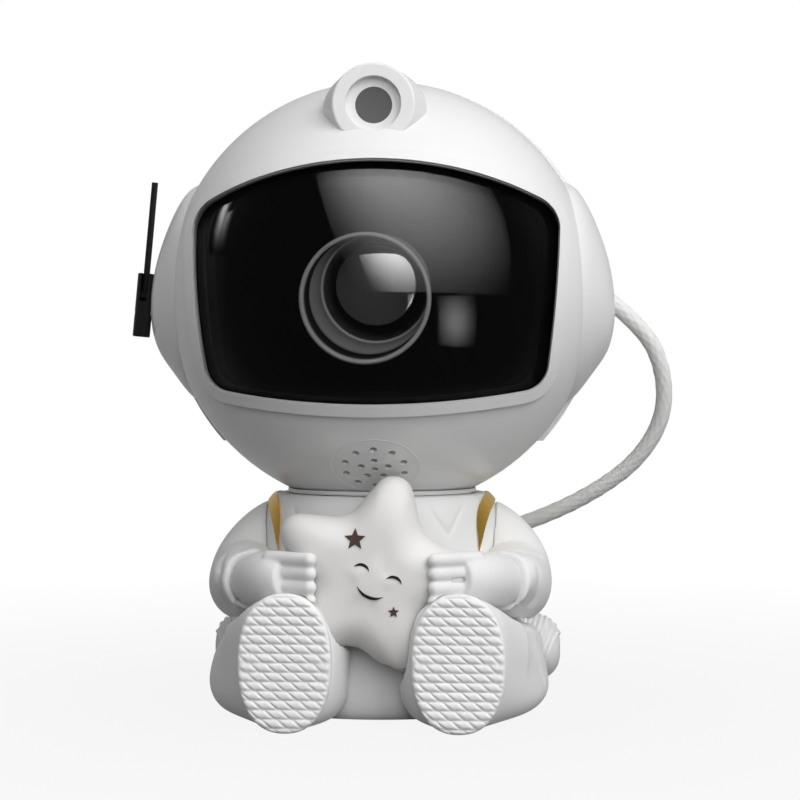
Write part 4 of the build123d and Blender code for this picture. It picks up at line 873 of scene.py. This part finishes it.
def pale_floor(half=6.0):
    """A wide square floor, in metres, that keeps the object's shadow."""
    material = bpy.data.materials.new("pale floor")
    tree = empty_tree(material)
    out = add_node(tree, "ShaderNodeOutputMaterial")
    matt = add_node(tree, "ShaderNodeBsdfDiffuse", inputs={"Color": (0.16, 0.16, 0.16, 1)})
    white = add_node(tree, "ShaderNodeEmission", inputs={"Color": (1, 1, 1, 1), "Strength": 1.0})
    # near the object the floor keeps its shadow, further off it fades into the white backdrop
    place = add_node(tree, "ShaderNodeTexCoord")
    away = add_node(tree, "ShaderNodeVectorMath", operation="LENGTH")
    link(tree, place.outputs["Object"], away.inputs[0])
    fade = add_node(tree, "ShaderNodeMapRange",
                    inputs={"From Min": 0.08, "From Max": 0.45, "To Min": 0.9, "To Max": 1.0})
    link(tree, away.outputs["Value"], fade.inputs["Value"])
    behind = behind_mask(tree, place.outputs["Object"], 0.1, 0.6)
    mix = add_node(tree, "ShaderNodeMixShader")
    link(tree, backdrop_share(tree, behind, fade.outputs["Result"]), mix.inputs["Fac"])
    link(tree, matt.outputs["BSDF"], mix.inputs[1])
    link(tree, white.outputs["Emission"], mix.inputs[2])
    link(tree, mix.outputs["Shader"], out.inputs["Surface"])
    corners = ((-half, -half, 0), (half, -half, 0), (half, half, 0), (-half, half, 0))
    floor = new_object("floor", corners, ((0, 1, 2, 3),), material, smooth=False)
    floor.visible_glossy = False


white_room()
pale_floor()
print("world:", SCENE.world.name)

# %% [markdown]
# ## Light
# Five soft lamps stand round the object. The key lamp is high on the right, with a lower one
# under it, and another from the front opens the shadows. A weaker one fills from the left, and
# one behind outlines the edges. Only the key lamp is mirrored in the gloss.

# %% The lamps
# azimuth from the front and elevation in degrees, distance and size in metres, watts
LAMPS = {
    "key": (50, 50, 1.2, 0.8, 7.8),
    "side": (50, 20, 1.3, 0.9, 4.6),
    "fill": (-60, 40, 1.3, 1.0, 3.1),
    "front": (12, 26, 1.2, 0.9, 6.4),
    "back": (180, 20, 1.4, 1.0, 3.2),
}
LIT_MIDDLE = Vector((0, 0, 0.1))


def area_lamp(name, azimuth, elevation, distance, size, power, glossy=False):
    """A square soft lamp on a sphere round the object, aimed at its middle."""
    data = bpy.data.lights.new(name, "AREA")
    data.size, data.energy = size, power
    lamp = bpy.data.objects.new(name, data)
    turn, lift = radians(azimuth), radians(elevation)
    away = Vector((sin(turn) * cos(lift), -cos(turn) * cos(lift), sin(lift)))
    lamp.location = LIT_MIDDLE + away * distance
    lamp.rotation_euler = (-away).to_track_quat("-Z", "Y").to_euler()
    lamp.visible_glossy = glossy
    SCENE.collection.objects.link(lamp)


for name, settings in LAMPS.items():
    area_lamp(name, *settings, glossy=name == "key")
print("lamps:", *LAMPS)

# %% [markdown]
# A softbox is seen in glass as a clean-edged window, brightest near its middle. Three cards
# stand for such windows. Only the reflections of a few chosen pieces see them: the large one is
# in the visor, the lens and the gold straps, a narrow one at the visor's left, and a small one
# under the large one, in the visor and the lens.

# %% How a card glows


def glow_material(name, peak, middle, spread):
    """Light that falls off from a middle in the card's own UV, like cloth lit from behind."""
    material = bpy.data.materials.new(name)
    tree = empty_tree(material)
    out = add_node(tree, "ShaderNodeOutputMaterial")
    glow = add_node(tree, "ShaderNodeEmission", inputs={"Color": (1, 1, 1, 1)})
    place = add_node(tree, "ShaderNodeTexCoord")
    away = add_node(tree, "ShaderNodeVectorMath", operation="SUBTRACT")
    away.inputs[1].default_value = (*middle, 0)
    scaled = add_node(tree, "ShaderNodeVectorMath", operation="DIVIDE")
    scaled.inputs[1].default_value = (*spread, 1)
    square = add_node(tree, "ShaderNodeVectorMath", operation="DOT_PRODUCT")
    half = add_node(tree, "ShaderNodeMath", operation="MULTIPLY")
    half.inputs[1].default_value = -0.5
    bell = add_node(tree, "ShaderNodeMath", operation="EXPONENT")
    level = add_node(tree, "ShaderNodeMath", operation="MULTIPLY")
    level.inputs[1].default_value = peak
    link(tree, place.outputs["UV"], away.inputs[0])
    link(tree, away.outputs["Vector"], scaled.inputs[0])
    for socket in square.inputs[:2]:
        link(tree, scaled.outputs["Vector"], socket)
    link(tree, square.outputs["Value"], half.inputs[0])
    link(tree, half.outputs["Value"], bell.inputs[0])
    link(tree, bell.outputs["Value"], level.inputs[0])
    link(tree, level.outputs["Value"], glow.inputs["Strength"])
    link(tree, glow.outputs["Emission"], out.inputs["Surface"])
    return material


print("materials before the cards:", len(bpy.data.materials))

# %% The cards


def reflected_card(name, corners, seen_in, peak, middle, spread, cells=16):
    """A four-cornered card, in metres from the helmet's middle, that only some pieces reflect."""
    steps = [k / cells for k in range(cells + 1)]
    low_left, low_right, high_right, high_left = (Vector(corner) for corner in corners)
    uvs = [(u, v) for v in steps for u in steps]
    verts = [HEAD + low_left.lerp(low_right, u).lerp(high_left.lerp(high_right, u), v) for u, v in uvs]
    row = cells + 1
    faces = [(k, k + row, k + row + 1, k + 1) for k in range(cells * row) if k % row < cells]
    card = new_object(name, verts, faces, glow_material(name, peak, middle, spread), uvs=uvs)
    card.visible_camera = card.visible_diffuse = card.visible_shadow = False
    mirrors = bpy.data.collections.new(name + " mirrors")
    for piece in seen_in:
        mirrors.objects.link(piece)
    card.light_linking.receiver_collection = mirrors
    print(card.name, "is seen in", *(piece.name for piece in seen_in))


# low left, low right, high right and high left corners
WINDOW = ((-0.242, -1.533, -0.026), (1.325, -0.435, -0.023), (0.54, 0.144, 1.305),
          (-1.26, 0.018, 2.61))
STREAK = ((-1.34, 0.38, 0.34), (-1.4, 0.06, 0.37), (-1.09, 0.33, 0.87), (-1.04, 0.63, 0.76))
SQUARE = ((0.18, -0.28, -0.16), (0.26, -0.2, -0.15), (0.27, -0.24, -0.01), (0.18, -0.32, -0.02))
visor_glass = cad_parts["visor_glass"]
straps = [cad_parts["strap_" + side] for side in ("left", "right")]
reflected_card("window_card", WINDOW, (visor_glass, coated_lens, *straps), peak=13.8,
               middle=(0.49, 0.5), spread=(0.2245, 0.24))
reflected_card("strip_card", STREAK, (visor_glass,), peak=14.0, middle=(0.5, 0.66),
               spread=(0.13, 0.22))
reflected_card("small_card", SQUARE, (visor_glass, coated_lens), peak=8.0, middle=(0.45, 0.5),
               spread=(0.26, 0.3))

# %% [markdown]
# ## Finish

# %% The colour transform and the last update
SCENE.view_settings.view_transform = "Standard"
bpy.context.view_layer.update()
